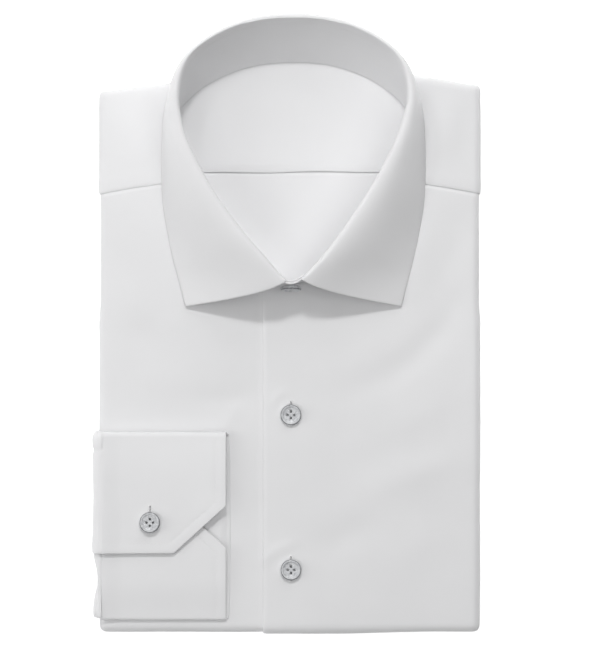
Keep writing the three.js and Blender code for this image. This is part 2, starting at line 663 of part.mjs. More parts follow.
const button = buttonBody();
const clearOf = (wall) => wall / 2 + GAP;
FRONT_BUTTONS_Y.forEach((y, k) => {
  const z = TOP_Z + PLACKET.lift + clearOf(CLOTH);
  add("button_front_" + (k + 1), button, shell).position.set(0, y, z);
});
add("button_cuff", button, shell).position.set(CUFF_BUTTON.x, CUFF_BUTTON.y, CUFF.upperZ + clearOf(CUFF_WALL));

const buttonAxis = vec(0, -1, COLLAR_BUTTON.tilt).normalize();
const lapStation = STATIONS - 0.5;
const [foot, head] = [standPoint(lapStation, 0), standPoint(lapStation, 1)];
const behindButton = foot.clone().lerp(head, (COLLAR_BUTTON.z - foot.z) / (head.z - foot.z));
const collarButton = add("button_collar", button, shell);
collarButton.position.copy(behindButton.addScaledVector(buttonAxis, clearOf(COLLAR_WALL)));
collarButton.position.x = 0;
collarButton.quaternion.setFromUnitVectors(vec(0, 0, 1), buttonAxis);

// the origin is the middle of the underside
group.updateMatrixWorld(true);
const box = new THREE.Box3().setFromObject(group, true);
const middle = box.getCenter(vec());
group.position.set(-middle.x, -middle.y, -box.min.z);

export default group;
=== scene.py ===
"""The looks of a folded dress shirt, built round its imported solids.

Sizes are in millimetres in the shirt's own frame: x = 0 is the line of the front buttons, y = 0 the
bottom fold and z = 0 the surface it lies on. `to_scene` turns them into the scene's metres.
"""
import math

import bmesh
import bpy
import numpy as np
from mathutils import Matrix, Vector


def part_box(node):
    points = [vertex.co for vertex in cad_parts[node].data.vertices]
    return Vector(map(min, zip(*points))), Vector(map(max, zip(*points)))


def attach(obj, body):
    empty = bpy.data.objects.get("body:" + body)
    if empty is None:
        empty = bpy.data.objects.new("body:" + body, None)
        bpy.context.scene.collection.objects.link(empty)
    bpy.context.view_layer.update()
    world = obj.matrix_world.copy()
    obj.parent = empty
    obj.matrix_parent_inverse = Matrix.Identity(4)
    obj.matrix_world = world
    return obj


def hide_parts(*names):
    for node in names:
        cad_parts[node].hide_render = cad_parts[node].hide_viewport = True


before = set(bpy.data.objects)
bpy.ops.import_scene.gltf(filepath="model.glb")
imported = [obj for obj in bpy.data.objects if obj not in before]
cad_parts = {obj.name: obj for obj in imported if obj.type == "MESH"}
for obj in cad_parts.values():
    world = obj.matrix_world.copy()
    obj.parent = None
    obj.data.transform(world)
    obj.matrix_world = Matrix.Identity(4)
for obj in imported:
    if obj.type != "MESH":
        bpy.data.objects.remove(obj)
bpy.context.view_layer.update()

# ---- driving sizes ----
GAP = 0.3  # between neighbouring pieces
CLOTH = 0.8  # one layer of shirting, thicker than real so that its edges show
FOLD_R = 6.55  # mid-surface radius of the fold round the edges
EDGE = FOLD_R + CLOTH / 2
TOP_Z = 25.6  # mid-surface of the top layer
FOLD_Z = TOP_Z - FOLD_R
CORNER_POWER = 4  # the pile's corners seen from above
FOLD_POWER = 4.2  # section of the pressed fold; 2 would be round
TURN_END = 0.93 * math.pi  # how far the cloth goes round the fold

LEFT_X, LEFT_LEAN = -110.4, -0.6
RIGHT_X, RIGHT_LEAN = 108.9, 0.7
BODY_LENGTH = 320
DENT_Y, DENT_HALF, DENT_DEPTH = 31, 10, 3
WAIST_Y, WAIST_FADE, WAIST_DEPTH = (176, 254), (16, 4), 0.8  # the fronts are narrower below the yoke
TOP_OUTLINE = [
    (-111, 311.3), (-90, 314.2), (-70, 316.6), (-45, 326), (0, 336),
    (45, 329.5), (70, 321.7), (90, 318.3), (110, 314.5),
]
SEAM_Y, SEAM_DROP, SEAM_HALF, SEAM_POWER = 262.5, 10.4, 110, 2.2  # the front shoulder seams
SEAM_DIP, SEAM_DIP_FROM, SEAM_DIP_TO = 0.95, -1.4, 0.6  # the fronts dive under the yoke there
SHOULDER_TUCK = 3  # how far the fronts run on under the yoke
PLACKET_EDGE, PLACKET_LIFT, PLACKET_FLAT, PLACKET_FADED, BAND_END = -16.1, 1.5, 4, 98, 14
PLACKET_ROLL, PLACKET_ROLL_REACH = 0.5, 1.1  # its folded edge rolls down
FOLD_END, FOLD_END_WIDTH, FOLD_END_HEIGHT = 2.2, 1.2, 0.06  # a faint ridge where the fold ends inside
PRESSED_LINES, PRESSED_WIDTH, PRESSED_DEPTH = (-17.9, -19.6), 0.45, 0.07  # beside the placket

COLLAR_X = 1.4
# half of the collar, front to back: seam with the body, crest of the fold, edge of the leaf,
# and how far both crests lean to the left
COLLAR = [
    ((5, 202, 27.9), (5, 202.4, 54), (62, 187.5, 27.9), 0),
    ((19.5, 207, 27.8), (16.3, 212.7, 56), (66, 203, 27.2), 0),
    ((35, 220.5, 26.5), (28.8, 227.2, 57.5), (69.5, 216, 27), 0.5),
    ((51.8, 240.9, 26.35), (43.6, 247.7, 59), (73, 233, 27), 1.2),
    ((64.3, 259.5, 26.35), (53.7, 264.7, 60), (75.3, 249, 27), 1.2),
    ((72.3, 276, 26.35), (62, 282.2, 61), (76, 270, 27), 1.1),
    ((72.5, 289, 26.35), (66, 296.2, 61.5), (75.5, 284, 27), 0.6),
    ((66.3, 300.5, 26.35), (67.3, 307.4, 62), (74.8, 296, 27), 0.1),
    ((58, 310, 26.35), (65.1, 320.6, 62), (72, 308.3, 27), 0),
    ((46.5, 318, 26.35), (59.1, 331.4, 62), (67, 318.6, 26.9), 0),
    ((35, 323.4, 26.35), (47.9, 340.4, 62), (57.8, 330.5, 23), 0),
    ((22, 327.2, 26.35), (33, 347.6, 62), (44.8, 340, 20), 0),
    ((9.5, 328.8, 26.35), (17, 351.6, 62), (26, 347.8, 18), 0),
    ((0, 329.1, 26.35), (0, 352.6, 62), (0, 350.2, 17.5), 0),
]
STATIONS = 2 * len(COLLAR) - 1
ROLL_INSET, ROLL_DROP = 2, 3.2  # the stand's top edge lies inside and below the crest
ROLL_CLEAR = -1.6  # from there up to the start of the leaf, which is sewn in between the stand's layers
FRONT_REACH, FRONT_CLOSES = 1.2, 0.65  # stations from the front over which the roll closes up to the stand
ROLL_LEAD, ROLL_LEAD_SHARE, ROLL_OUTWARD = 3.0, 0.26, 8  # the way that the leaf takes from its crest
SETTLED_ACROSS, SETTLED_DOWN = 0.35, 0.12  # and to its edge, as shares of its fall
# towards its two ends the leaf falls straighter
END_STATIONS, END_LEAD_LOSS, END_SETTLED_GAIN = 2.0, 0.14, 0.15
FRONT_BULGE, FRONT_STATIONS = 2.4, 0.9  # its front edges bow down near the button
LEFT_SAG, RIGHT_SAG, SAG_STATIONS, SAG_AT_CREST = 3.5, 4.5, 2.4, 0.5  # and hang a little
STAND_OVERLAP, STAND_STEP = 1.15, 0.8
BUTTONED_SKEW = (-0.9, 0.5)  # the left end of the fold sits lower than the right one
COLLAR_WALL, STAND_WALL = 1.4, 1.25
LEAF_SEAM = 4.6  # from the leaf's edge to its line of stitches

DISH_RIM, DISH_DEPTH, DISH_FRONT, DISH_SEAM, DISH_MARGIN, DISH_BACK_RIM = 23.9, 2.8, 198.5, 265, 4, 25.1
NECK_WIDEST_Y = 285
NECK_INSIDE = 0.985  # the hole in the body is a little smaller than the collar's seam
YOKE_PROUD, YOKE_PROUD_REACH = 0.25, 3  # the yoke stands up behind its front seam
SEAM_RIDGE, SEAM_RIDGE_AT, SEAM_RIDGE_WIDTH = 0.2, 5, 4  # and the seam's allowance shows through
INNER_PUFF, INNER_PUFF_REACH = 0.9, 16  # the inner yoke is full behind its seam
INNER_ROLL, INNER_ROLL_REACH = 0.6, 7

CUFF_WALL = 1.3
CUFF_LEFT, CUFF_RIGHT, CUFF_LOWER_RIGHT = -108.9, -37.2, -34.8
CUFF_LOWER_Z, CUFF_UNDER_Z, CUFF_UPPER_Z = 26.9, 29.3, 31.9
CUFF_BOTTOM, CUFF_TOP, CUFF_UNDER_END, CUFF_UPPER_END = 7.2, 115.6, 76.3, 45.4
MITRE_LENGTH, MITRE_WIDTH = 27.6, 30.5
CUFF_SEAM = 6  # from the edge to the line of stitches
CUFF_TUCK = 0.4  # how far the cuff's end runs into the sleeve
GROOVE, GROOVE_WIDTH, HEM_FULL, HEM_WIDTH = 0.13, 0.9, 0.09, 2  # along that line, and between it and the edge
RIGHT_CURL, RIGHT_CURL_REACH, LEFT_CURL_REACH = 1.0, 26, 12
UPPER_LEFT_CURL, UNDER_LEFT_CURL = 1.1, 0.9
UPPER_SLOPE, UPPER_SLOPE_REACH, UNDER_SLOPE, UNDER_SLOPE_REACH = 1.2, 26, 1.5, 22  # towards the rolls
LOWER_SETTLE = 1.1  # how far the lower layer's free side sinks onto the shirt

SLEEVE_LOW, SLEEVE_HIGH = 8.4, 116
# the sleeve's section round the left edge: outer dx, z and inner dx, z
SLEEVE_LINES = [
    (1.4, 33.6, 1.4, 26.6), (-0.6, 33, 0.3, 25.9), (-2.4, 31, -0.1, 24.2), (-3.6, 27.6, -0.4, 21.5),
    (-3.9, 22, -0.45, 17.5), (-3.8, 14, -0.45, 12), (-3.7, 7, -0.45, 7.5), (-3.2, 2.6, -0.3, 5),
    (-1.4, 0.4, 0.9, 3.7), (2, 0, 3.5, 3.3), (14, 0, 14, 3.1), (30, 0, 30, 3.1),
]

FRONT_BUTTONS_Y = (125.3, 36.1)
BUTTON_THICK = 2.5

# the first front button shows where the shirt's frame lies in the scene
button_low, button_high = (np.array(corner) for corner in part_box("button_front_1"))
button_middle = (button_low + button_high) / 2
PLACE = np.array([button_middle[0], button_middle[1] - FRONT_BUTTONS_Y[0] / 1000, 0])


def to_scene(points):
    """Millimetres of the shirt's frame as metres of the scene."""
    return np.asarray(points) / 1000 + PLACE


# ---- small tools for numbers ----
def smooth(x, low, high):
    t = np.clip((x - low) / (high - low), 0, 1)
    return t * t * (3 - 2 * t)


def mix(a, b, share):
    return a + (b - a) * share


def unit(vectors):
    return vectors / np.maximum(np.linalg.norm(vectors, axis=-1, keepdims=True), 1e-9)


def bell(distance, width):
    return np.exp(-((distance / width) ** 2))


def catmull(points, share, closed=False, held=False):
    """A smooth curve through points, at shares of their count. Held ends repeat the last point."""
    points = np.asarray(points, float)
    count = len(points)
    if closed:
        place = np.asarray(share) * count
        k = np.floor(place).astype(int)
        p0, p1, p2, p3 = (points[(k + step) % count] for step in (-1, 0, 1, 2))
    else:
        place = np.clip(share, 0, 1) * (count - 1)
        k = np.minimum(np.floor(place).astype(int), count - 2)
        before = points[0] if held else 2 * points[0] - points[1]
        after = points[-1] if held else 2 * points[-1] - points[-2]
        longer = np.vstack([before, points, after])
        p0, p1, p2, p3 = (longer[k + step] for step in range(4))
    w = (place - k)[..., None]
    start, end = (p2 - p0) / 2, (p3 - p1) / 2
    return p1 + w * (start + w * (3 * (p2 - p1) - 2 * start - end + w * (2 * (p1 - p2) + start + end)))


def distance_to_line(x, y, points):
    """Distance to a polyline, and the share of its length at the nearest place."""
    points = np.asarray(points, float)
    steps = np.diff(points, axis=0)
    lengths = np.linalg.norm(steps, axis=1)
    before = np.concatenate([[0], np.cumsum(lengths)])
    nearest = np.full(np.shape(x), np.inf)
    share = np.zeros(np.shape(x))
    for start, step, length, passed in zip(points, steps, lengths, before):
        t = np.clip(((x - start[0]) * step[0] + (y - start[1]) * step[1]) / length**2, 0, 1)
        gap = np.hypot(x - start[0] - t * step[0], y - start[1] - t * step[1])
        closer = gap < nearest
        nearest = np.where(closer, gap, nearest)
        share = np.where(closer, (passed + t * length) / before[-1], share)
    return nearest, share


def crease(x, y, points, width, height):
    """A soft ridge (or trough, if height is negative) along a line, dying away at its ends."""
    distance, share = distance_to_line(x, y, catmull(points, np.linspace(0, 1, 12)))
    return height * bell(distance, width) * np.sin(np.pi * mix(0.05, 0.95, share)) ** 0.8


def stacked(*parts):
    """Coordinates side by side, each stretched to the shape of them all."""
    return np.stack(np.broadcast_arrays(*parts), axis=-1)


# ---- meshes ----
def new_object(name, data):
    made = bpy.data.objects.new(name, data)
    bpy.context.scene.collection.objects.link(made)
    return made


def make_mesh(name, points, faces, material, uv=None):
    """An object from points in millimetres and faces; uv is a place on the cloth in metres, a point each."""
    mesh = bpy.data.meshes.new(name)
    mesh.from_pydata(to_scene(points).tolist(), [], [list(face) for face in faces])
    mesh.polygons.foreach_set("use_smooth", [True] * len(mesh.polygons))
    if uv is not None:
        corner = np.empty(len(mesh.loops), dtype=np.int32)
        mesh.loops.foreach_get("vertex_index", corner)
        layer = mesh.uv_layers.new(name="cloth")
        layer.data.foreach_set("uv", np.asarray(uv, dtype=np.float32)[corner].ravel())
    mesh.validate()
    mesh.materials.append(material)
    return new_object(name, mesh)


def outward(piece):
    """Faces turned outwards, whichever way round the outline runs."""
    work = bmesh.new()
    work.from_mesh(piece.data)
    bmesh.ops.recalc_face_normals(work, faces=work.faces)
    work.to_mesh(piece.data)
    work.free()
    return piece


def ring_faces(ids):
    """Quads between closed rings of point numbers, a ring a row."""
    after = np.roll(ids, -1, axis=1)
    return np.stack([ids[:-1], after[:-1], after[1:], ids[1:]], axis=-1).reshape(-1, 4)


def ring_solid(rings, low_middle, high_middle):
    """Points and faces of a stack of rings, closed at both ends by a fan to a middle."""
    ids = np.arange(rings.shape[0] * rings.shape[1]).reshape(rings.shape[:2])
    points = np.vstack([rings.reshape(-1, 3), low_middle, high_middle])
    faces = ring_faces(ids).tolist()
    for ring, middle, order in ((ids[0], ids.size, -1), (ids[-1], ids.size + 1, 1)):
        faces += [[a, b, middle][::order] for a, b in zip(ring.tolist(), np.roll(ring, -1).tolist())]
    return points, faces


def prism(outline, low, high):
    """Points and faces of an upright solid with an outline in x and y."""
    ids = np.arange(2 * len(outline)).reshape(2, -1)
    points = np.concatenate([stacked(outline[:, 0], outline[:, 1], float(z)) for z in (low, high)])
    return points, ring_faces(ids).tolist() + [ids[1].tolist(), ids[0, ::-1].tolist()]


def grid_slopes(middle):
    """Unit directions along the columns' index and the rows' index of a grid, and its normal."""
    across = unit(np.gradient(middle, axis=0))
    along = unit(np.gradient(middle, axis=1))
    return across, along, unit(np.cross(across, along))


def raised(middle, amount):
    """A grid of points moved along its normals."""
    return middle + grid_slopes(middle)[2] * np.asarray(amount)[..., None]


def cloth_uv(middle):
    """Lengths over the cloth from the middle of a grid, in metres."""
    lengths = []
    for axis in (0, 1):
        step = np.linalg.norm(np.diff(middle, axis=axis), axis=-1)
        pad = np.zeros_like(np.take(step, [0], axis=axis))
        run = np.cumsum(np.concatenate([pad, step], axis=axis), axis=axis)
        lengths.append(run - np.take(run, [run.shape[axis] // 2], axis=axis))
    return np.stack(lengths, axis=-1) / 1000


RIM_STEPS = 3  # facets of a quarter of a rounded edge


def shell_arrays(middle, thickness):
    """Points, quads and uv of a closed sheet with rounded edges round a grid of mid-surface points."""
    columns, rows = middle.shape[:2]
    across, along, normal = grid_slopes(middle)
    place = cloth_uv(middle)

    def padded(count):
        steps = np.arange(-RIM_STEPS, count + RIM_STEPS)
        nearest = np.clip(steps, 0, count - 1)
        return nearest, (steps - nearest) / RIM_STEPS * math.pi / 2

    i, turn_i = padded(columns)
    j, turn_j = padded(rows)
    pick = np.ix_(i, j)
    radius = thickness / 2
    height = np.cos(np.maximum(np.abs(turn_i)[:, None], np.abs(turn_j)[None, :]))
    out = across[pick] * np.sin(turn_i)[:, None, None] + along[pick] * np.sin(turn_j)[None, :, None]
    base = middle[pick] + out * radius
    lift = normal[pick] * (height * radius)[..., None]
    top, bottom = base + lift, base - lift
    uv = place[pick] + stacked(np.sin(turn_i)[:, None], np.sin(turn_j)[None, :]) * radius / 1000

    shape = top.shape[:2]
    top_id = np.arange(shape[0] * shape[1]).reshape(shape)
    bottom_id = np.full(shape, -1)
    inner = (slice(1, -1), slice(1, -1))
    bottom_id[inner] = top_id.size + np.arange((shape[0] - 2) * (shape[1] - 2)).reshape(shape[0] - 2, -1)
    border = bottom_id < 0
    bottom_id[border] = top_id[border]
    quads = []
    for ids, order in ((top_id, 1), (bottom_id, -1)):
        quad = np.stack([ids[:-1, :-1], ids[1:, :-1], ids[1:, 1:], ids[:-1, 1:]], axis=-1).reshape(-1, 4)
        quads.append(quad[:, ::order])
    points = np.concatenate([top.reshape(-1, 3), bottom[inner].reshape(-1, 3)])
    uvs = np.concatenate([uv.reshape(-1, 2), uv[inner].reshape(-1, 2)])
    return points, np.concatenate(quads), uvs


def shell(name, middle, thickness, material):
    points, quads, uv = shell_arrays(middle, thickness)
    return make_mesh(name, points, quads, material, uv)


def cut(piece, points, faces):
    """The piece with the room of a closed form taken out of it."""
    cutter = outward(make_mesh("cutter", points, faces, piece.data.materials[0]))
    modifier = piece.modifiers.new("cut", "BOOLEAN")
    modifier.operation = "DIFFERENCE"
    modifier.solver = "MANIFOLD"
    modifier.object = cutter
    settle(piece)
    bpy.data.objects.remove(cutter, do_unlink=True)


def settle(piece):
    """The piece's modifiers made part of its mesh."""
    graph = bpy.context.evaluated_depsgraph_get()
    mesh = bpy.data.meshes.new_from_object(piece.evaluated_get(graph), depsgraph=graph)
    piece.modifiers.clear()
    piece.data = mesh


# ---- materials ----
def linear(hex_colour):
    """A linear colour from an sRGB hex value."""
    values = [int(hex_colour[k : k + 2], 16) / 255 for k in (1, 3, 5)]
    return [v / 12.92 if v <= 0.04045 else ((v + 0.055) / 1.055) ** 2.4 for v in values] + [1.0]


def add_node(tree, kind, settings=None, inputs=None, links=None):
    """A node with its own settings, constants on its sockets, and links from other nodes' sockets."""
    node = tree.nodes.new(kind)
    for key, value in (settings or {}).items():
        setattr(node, key, value)
    for key, value in (inputs or {}).items():
        node.inputs[key].default_value = value
    for key, socket in (links or {}).items():
        tree.links.new(socket, node.inputs[key])
    return node


def new_material(name, constants):
    """A material, its tree and its shader, with constants on the shader's own sockets."""
    material = bpy.data.materials.new(name)
    material.use_nodes = True
    shader = material.node_tree.nodes["Principled BSDF"]
    for key, value in constants.items():
        shader.inputs[key].default_value = value
    return material, material.node_tree, shader


WAVE_LENGTH = 2 * math.pi / 20  # metres between the bands of a wave texture at scale 1


def cotton_poplin(name, light, dark):
    """Bleached cotton poplin, woven and pressed: matt white, a fine even weave and a faint nap."""
    material, tree, shader = new_material(
        name,
        {
            "Roughness": 0.85, "IOR": 1.46, "Specular IOR Level": 0.25,
            "Sheen Weight": 0.12, "Sheen Roughness": 0.5,
        },
    )
    place = add_node(tree, "ShaderNodeUVMap", {"uv_map": "cloth"})
    solid = add_node(tree, "ShaderNodeTexCoord")
    # threads 1 mm apart; real poplin has about 0.2 mm, too fine to show
    sizes = {"Scale": WAVE_LENGTH / 0.001, "Distortion": 0.6, "Detail": 1.0, "Detail Scale": 0.2}
    threads = []
    for direction in ("X", "Y"):
        kind = {"wave_type": "BANDS", "bands_direction": direction, "wave_profile": "SIN"}
        threads.append(add_node(tree, "ShaderNodeTexWave", kind, sizes, {"Vector": place.outputs["UV"]}))
    over = {k: thread.outputs["Fac"] for k, thread in enumerate(threads)}
    weave = add_node(tree, "ShaderNodeMath", {"operation": "MAXIMUM"}, {}, over)
    relief = {"Strength": 0.35, "Distance": 0.00002}
    bump = add_node(tree, "ShaderNodeBump", {}, relief, {"Height": weave.outputs[0]})
    # pressed cloth varies a little in tone, over 30 mm or so and down to 8 mm
    clouds = {"Scale": 32.0, "Detail": 2.0, "Roughness": 0.5}
    cloudy = add_node(tree, "ShaderNodeTexNoise", {}, clouds, {"Vector": solid.outputs["Object"]})
    tones = {"A": linear(light), "B": linear(dark)}
    tone = add_node(tree, "ShaderNodeMix", {"data_type": "RGBA"}, tones, {"Factor": cloudy.outputs["Fac"]})
    tree.links.new(tone.outputs["Result"], shader.inputs["Base Color"])
    tree.links.new(bump.outputs["Normal"], shader.inputs["Normal"])
    return material


def pearl_resin(name, dark, light):
    """Polyester button resin, turned and tumbled: smoke grey, glossy, with a clouded pearl figure."""
    material, tree, shader = new_material(name, {"Roughness": 0.28, "IOR": 1.56})
    solid = add_node(tree, "ShaderNodeTexCoord")
    # the figure runs in bands about 3 mm across
    bands = {"Scale": 330.0, "Detail": 3.0, "Distortion": 1.5}
    figure = add_node(tree, "ShaderNodeTexNoise", {}, bands, {"Vector": solid.outputs["Object"]})
    ramp = add_node(tree, "ShaderNodeValToRGB", {}, {}, {"Fac": figure.outputs["Fac"]})
    for element, place, colour in zip(ramp.color_ramp.elements, (0.3, 0.7), (dark, light)):
        element.position = place
        element.color = linear(colour)
    tree.links.new(ramp.outputs["Color"], shader.inputs["Base Color"])
    return material


def spun_thread():
    """Mercerised cotton sewing thread: white, slightly glossier than the cloth."""
    material, tree, shader = new_material("sewing_thread", {"Roughness": 0.6})
    solid = add_node(tree, "ShaderNodeTexCoord")
    # plies 0.4 mm long
    ply = add_node(tree, "ShaderNodeTexNoise", {}, {"Scale": 2500.0}, {"Vector": solid.outputs["Object"]})
    tones = {"A": linear("#dededf"), "B": linear("#f2f2f2")}
    tone = add_node(tree, "ShaderNodeMix", {"data_type": "RGBA"}, tones, {"Factor": ply.outputs["Fac"]})
    tree.links.new(tone.outputs["Result"], shader.inputs["Base Color"])
    return material


def studio_paper():
    """Matt white background paper, with a glow of its own that keeps it white."""
    material, tree, shader = new_material(
        "studio_paper",
        {
            "Base Color": linear("#fbfbfb"), "Roughness": 0.95,
            "Emission Color": (1, 1, 1, 1), "Emission Strength": 0.52,
        },
    )
    solid = add_node(tree, "ShaderNodeTexCoord")
    # grain about 1 mm across
    grain = add_node(tree, "ShaderNodeTexNoise", {}, {"Scale": 900.0}, {"Vector": solid.outputs["Object"]})
    relief = {"Strength": 0.1, "Distance": 0.0001}
    bump = add_node(tree, "ShaderNodeBump", {}, relief, {"Height": grain.outputs["Fac"]})
    tree.links.new(bump.outputs["Normal"], shader.inputs["Normal"])
    return material


COTTON = cotton_poplin("cotton_poplin", "#ebebec", "#e6e6e7")
# the same cloth one step lighter for the inside of the neck: painted light that lifts the shade there
COTTON_PAINTED_LIGHT = cotton_poplin("cotton_poplin_painted_light", "#ececed", "#e7e7e8")
RESIN = pearl_resin("button_resin", "#b6b8bb", "#dedfe1")
# a darker copy of the resin, laid on rows of each button's wall: painted shade for its dark rim
RESIN_PAINTED_SHADE = pearl_resin("button_resin_painted_shade", "#6c6e71", "#97999c")
THREAD = spun_thread()

# ---- the folded body ----
top_table = catmull(TOP_OUTLINE, np.linspace(0, 1, 65), held=True)


def top_edge(x):
    return np.interp(x, top_table[:, 0], top_table[:, 1])


def waist(y):
    (low, high), (below, above) = WAIST_Y, WAIST_FADE
    return WAIST_DEPTH * smooth(y, low, low + below) * (1 - smooth(y, high - above, high))


def left_edge(y):
    return LEFT_X + LEFT_LEAN * y / BODY_LENGTH + DENT_DEPTH * bell(y - DENT_Y, DENT_HALF) + waist(y)


def right_edge(y):
    return RIGHT_X + RIGHT_LEAN * y / BODY_LENGTH - waist(y)


def seam_y(x):
    return SEAM_Y - SEAM_DROP * np.clip(np.abs(x) / SEAM_HALF, 0, 1) ** SEAM_POWER


def corner_norm(x, y):
    return (np.abs(x) ** CORNER_POWER + np.abs(y) ** CORNER_POWER) ** (1 / CORNER_POWER)


def body_point(u, v, lift=0.0):
    """The top layer's mid-surface: u, v are x, y on the flat, and lengths round the fold past it."""
    u, v, lift = np.broadcast_arrays(u, v, lift)
    level = np.clip(v, 0, BODY_LENGTH)
    x = np.clip(u, left_edge(level) + EDGE, right_edge(level) - EDGE)
    y = np.clip(v, EDGE, top_edge(x) - EDGE)
    turn = np.maximum(np.abs(u - x), np.abs(v - y)) / FOLD_R
    square = (np.abs(np.sin(turn)) ** FOLD_POWER + np.abs(np.cos(turn)) ** FOLD_POWER) ** (-1 / FOLD_POWER)
    radius = (FOLD_R + lift * (1 + np.cos(turn)) / 2) * square
    reach = radius * np.sin(turn) / np.maximum(corner_norm(u - x, v - y), 1e-9)
    return stacked(x + (u - x) * reach, y + (v - y) * reach, FOLD_Z + radius * np.cos(turn))


# soft creases of the top layer: line, half-width, height
BODY_CREASES = [
    # from the right shoulder down across the chest
    ([(101, 206), (86, 174), (60, 150), (25, 135)], 9, -1.1),
    ([(95, 137), (74, 125), (46, 111)], 10, 0.5),
    ([(97, 102), (68, 91), (37, 81)], 10, 0.9),
    ([(54, 65), (28, 53), (11, 46)], 9, -0.7),
    ([(92, 60), (70, 48), (48, 38)], 10, 0.4),
    ([(84, 244), (77, 225), (70, 200)], 8, 0.7),
    ([(100, 240), (92, 214), (80, 190)], 7, -0.5),
    # short arcs that the buttons pull
    ([(-12, 129), (-8, 136), (-0.6, 140)], 2.6, 0.45),
    ([(-19, 39), (-8.5, 47), (3, 52)], 3.4, 0.55),
    ([(14, 134), (20, 128), (24, 118)], 4, 0.2),
    # left side, above the cuff
    ([(-58, 134), (-34, 134), (-17, 139)], 7, -0.9),
    ([(-41, 115), (-34, 125), (-27, 134)], 4, 0.35),
    ([(-52, 174), (-43, 158), (-38, 148)], 7, 0.5),
    ([(-96, 178), (-84, 170), (-76, 160)], 8, -0.5),
    ([(-92, 205), (-88, 190), (-84, 176)], 8, 0.4),
    ([(-88, 150), (-70, 146), (-56, 148)], 9, 0.5),
    ([(-34, 60), (-28, 70), (-22, 84)], 5, 0.3),
    ([(-96, 240), (-90, 222), (-88, 206)], 9, 0.4),
    # shoulders
    ([(-104, 300), (-92, 284), (-84, 270)], 10, 0.5),
    ([(-80, 306), (-88, 290), (-96, 272)], 7, -0.4),
    ([(90, 300), (86, 282), (82, 266)], 8, 0.55),
    ([(101, 304), (99, 286), (97, 268)], 6, -0.45),
]


def body_relief(x, y):
    total = np.zeros(np.shape(x))
    for line, width, height in BODY_CREASES:
        total += crease(x, y, line, width, height)
    # pressing leaves the cloth a little uneven all over: waves about 120 mm long, and faint ones of 35 mm
    total += 0.18 * np.sin(x / 17 + 1.3 * np.sin(y / 29)) * np.sin(y / 23 + 1.1 * np.sin(x / 31) + 0.6)
    faint = np.sin((x + y) / 7.3 + np.sin(y / 13)) * np.sin((x - 1.4 * y) / 9.1 + 1.2 * np.sin(x / 19))
    return total + 0.05 * faint


FOLD_ROWS = 13
fold_run = np.linspace(0, 1, FOLD_ROWS + 1)[1:] * TURN_END * FOLD_R


def placket_lift(x):
    """The left front lies on the right one at the placket, and comes down towards its own side."""
    return PLACKET_LIFT * (1 - smooth(x, PLACKET_FLAT, PLACKET_FADED))


def front_panel(share_columns, side, inner_edge, lift, extra, rows=186):
    """Mid-surface of a front. A column is a share from its inner edge to the side fold, then round it."""
    flat = np.concatenate([share_columns, np.ones(FOLD_ROWS)])
    beyond = np.concatenate([np.zeros(len(share_columns)), fold_run])
    levels = np.concatenate([EDGE - fold_run[::-1], np.linspace(EDGE, SEAM_Y + SHOULDER_TUCK, rows)])
    edge_at = right_edge if side > 0 else left_edge
    level = np.maximum(levels, EDGE)[None, :]
    outer = edge_at(np.where(levels < EDGE, 0, np.clip(level, 0, BODY_LENGTH))) - side * EDGE
    u = mix(inner_edge, outer, flat[:, None]) + side * beyond[:, None]
    share = (level - EDGE) / (SEAM_Y + SHOULDER_TUCK - EDGE)
    v = np.where(levels < EDGE, levels, mix(EDGE, seam_y(u) + SHOULDER_TUCK, share))
    if side < 0:
        u, v = u[::-1], v[::-1]
    middle = body_point(u, v, lift(u))
    dip = -SEAM_DIP * smooth(v - seam_y(u), SEAM_DIP_FROM, SEAM_DIP_TO)
    return raised(middle, body_relief(middle[..., 0], middle[..., 1]) + dip + extra(u))


def left_extra(u):
    """The placket's folded edge rolls down, with a faint ridge where the fold ends inside."""
    inside = u - PLACKET_EDGE
    ridge = FOLD_END_HEIGHT * bell(inside - FOLD_END, FOLD_END_WIDTH)
    return ridge - PLACKET_ROLL * np.exp(-inside / PLACKET_ROLL_REACH)


def right_extra(u):
    """Two faint lines that the layers underneath press through beside the placket."""
    return -PRESSED_DEPTH * sum(bell(u - x, PRESSED_WIDTH) for x in PRESSED_LINES)


def neck_room(count=160, below=6, above=8):
    """The room inside the collar's seam, through the top layer."""
    outline = catmull(seam_loop, np.arange(count) / count, closed=True)
    outline = mix(outline.mean(axis=0), outline, NECK_INSIDE)
    return prism(outline, TOP_Z - below, TOP_Z + above)


# ---- the collar's lines ----
def collar_loop(line):
    left, right = (
        [(COLLAR_X + side * row[line][0] - row[3] * (line == 1), *row[line][1:]) for row in COLLAR]
        for side in (-1, 1)
    )
    return np.array(left + right[:-1][::-1], float)


seam_loop, fold_loop, leaf_loop = (collar_loop(line) for line in range(3))
fold_loop[[0, -1], 1] += BUTTONED_SKEW


def seam_at(station):
    return catmull(seam_loop, np.asarray(station) / STATIONS, closed=True)


def fold_at(station):
    return catmull(fold_loop, np.asarray(station) / STATIONS, closed=True)


def leaf_at(station):
    return catmull(leaf_loop, np.asarray(station) / (STATIONS - 1))


def outward_at(station):
    along = fold_at(station + 0.1) - fold_at(station - 0.1)
    return unit(stacked(-along[..., 1], along[..., 0], 0.0))


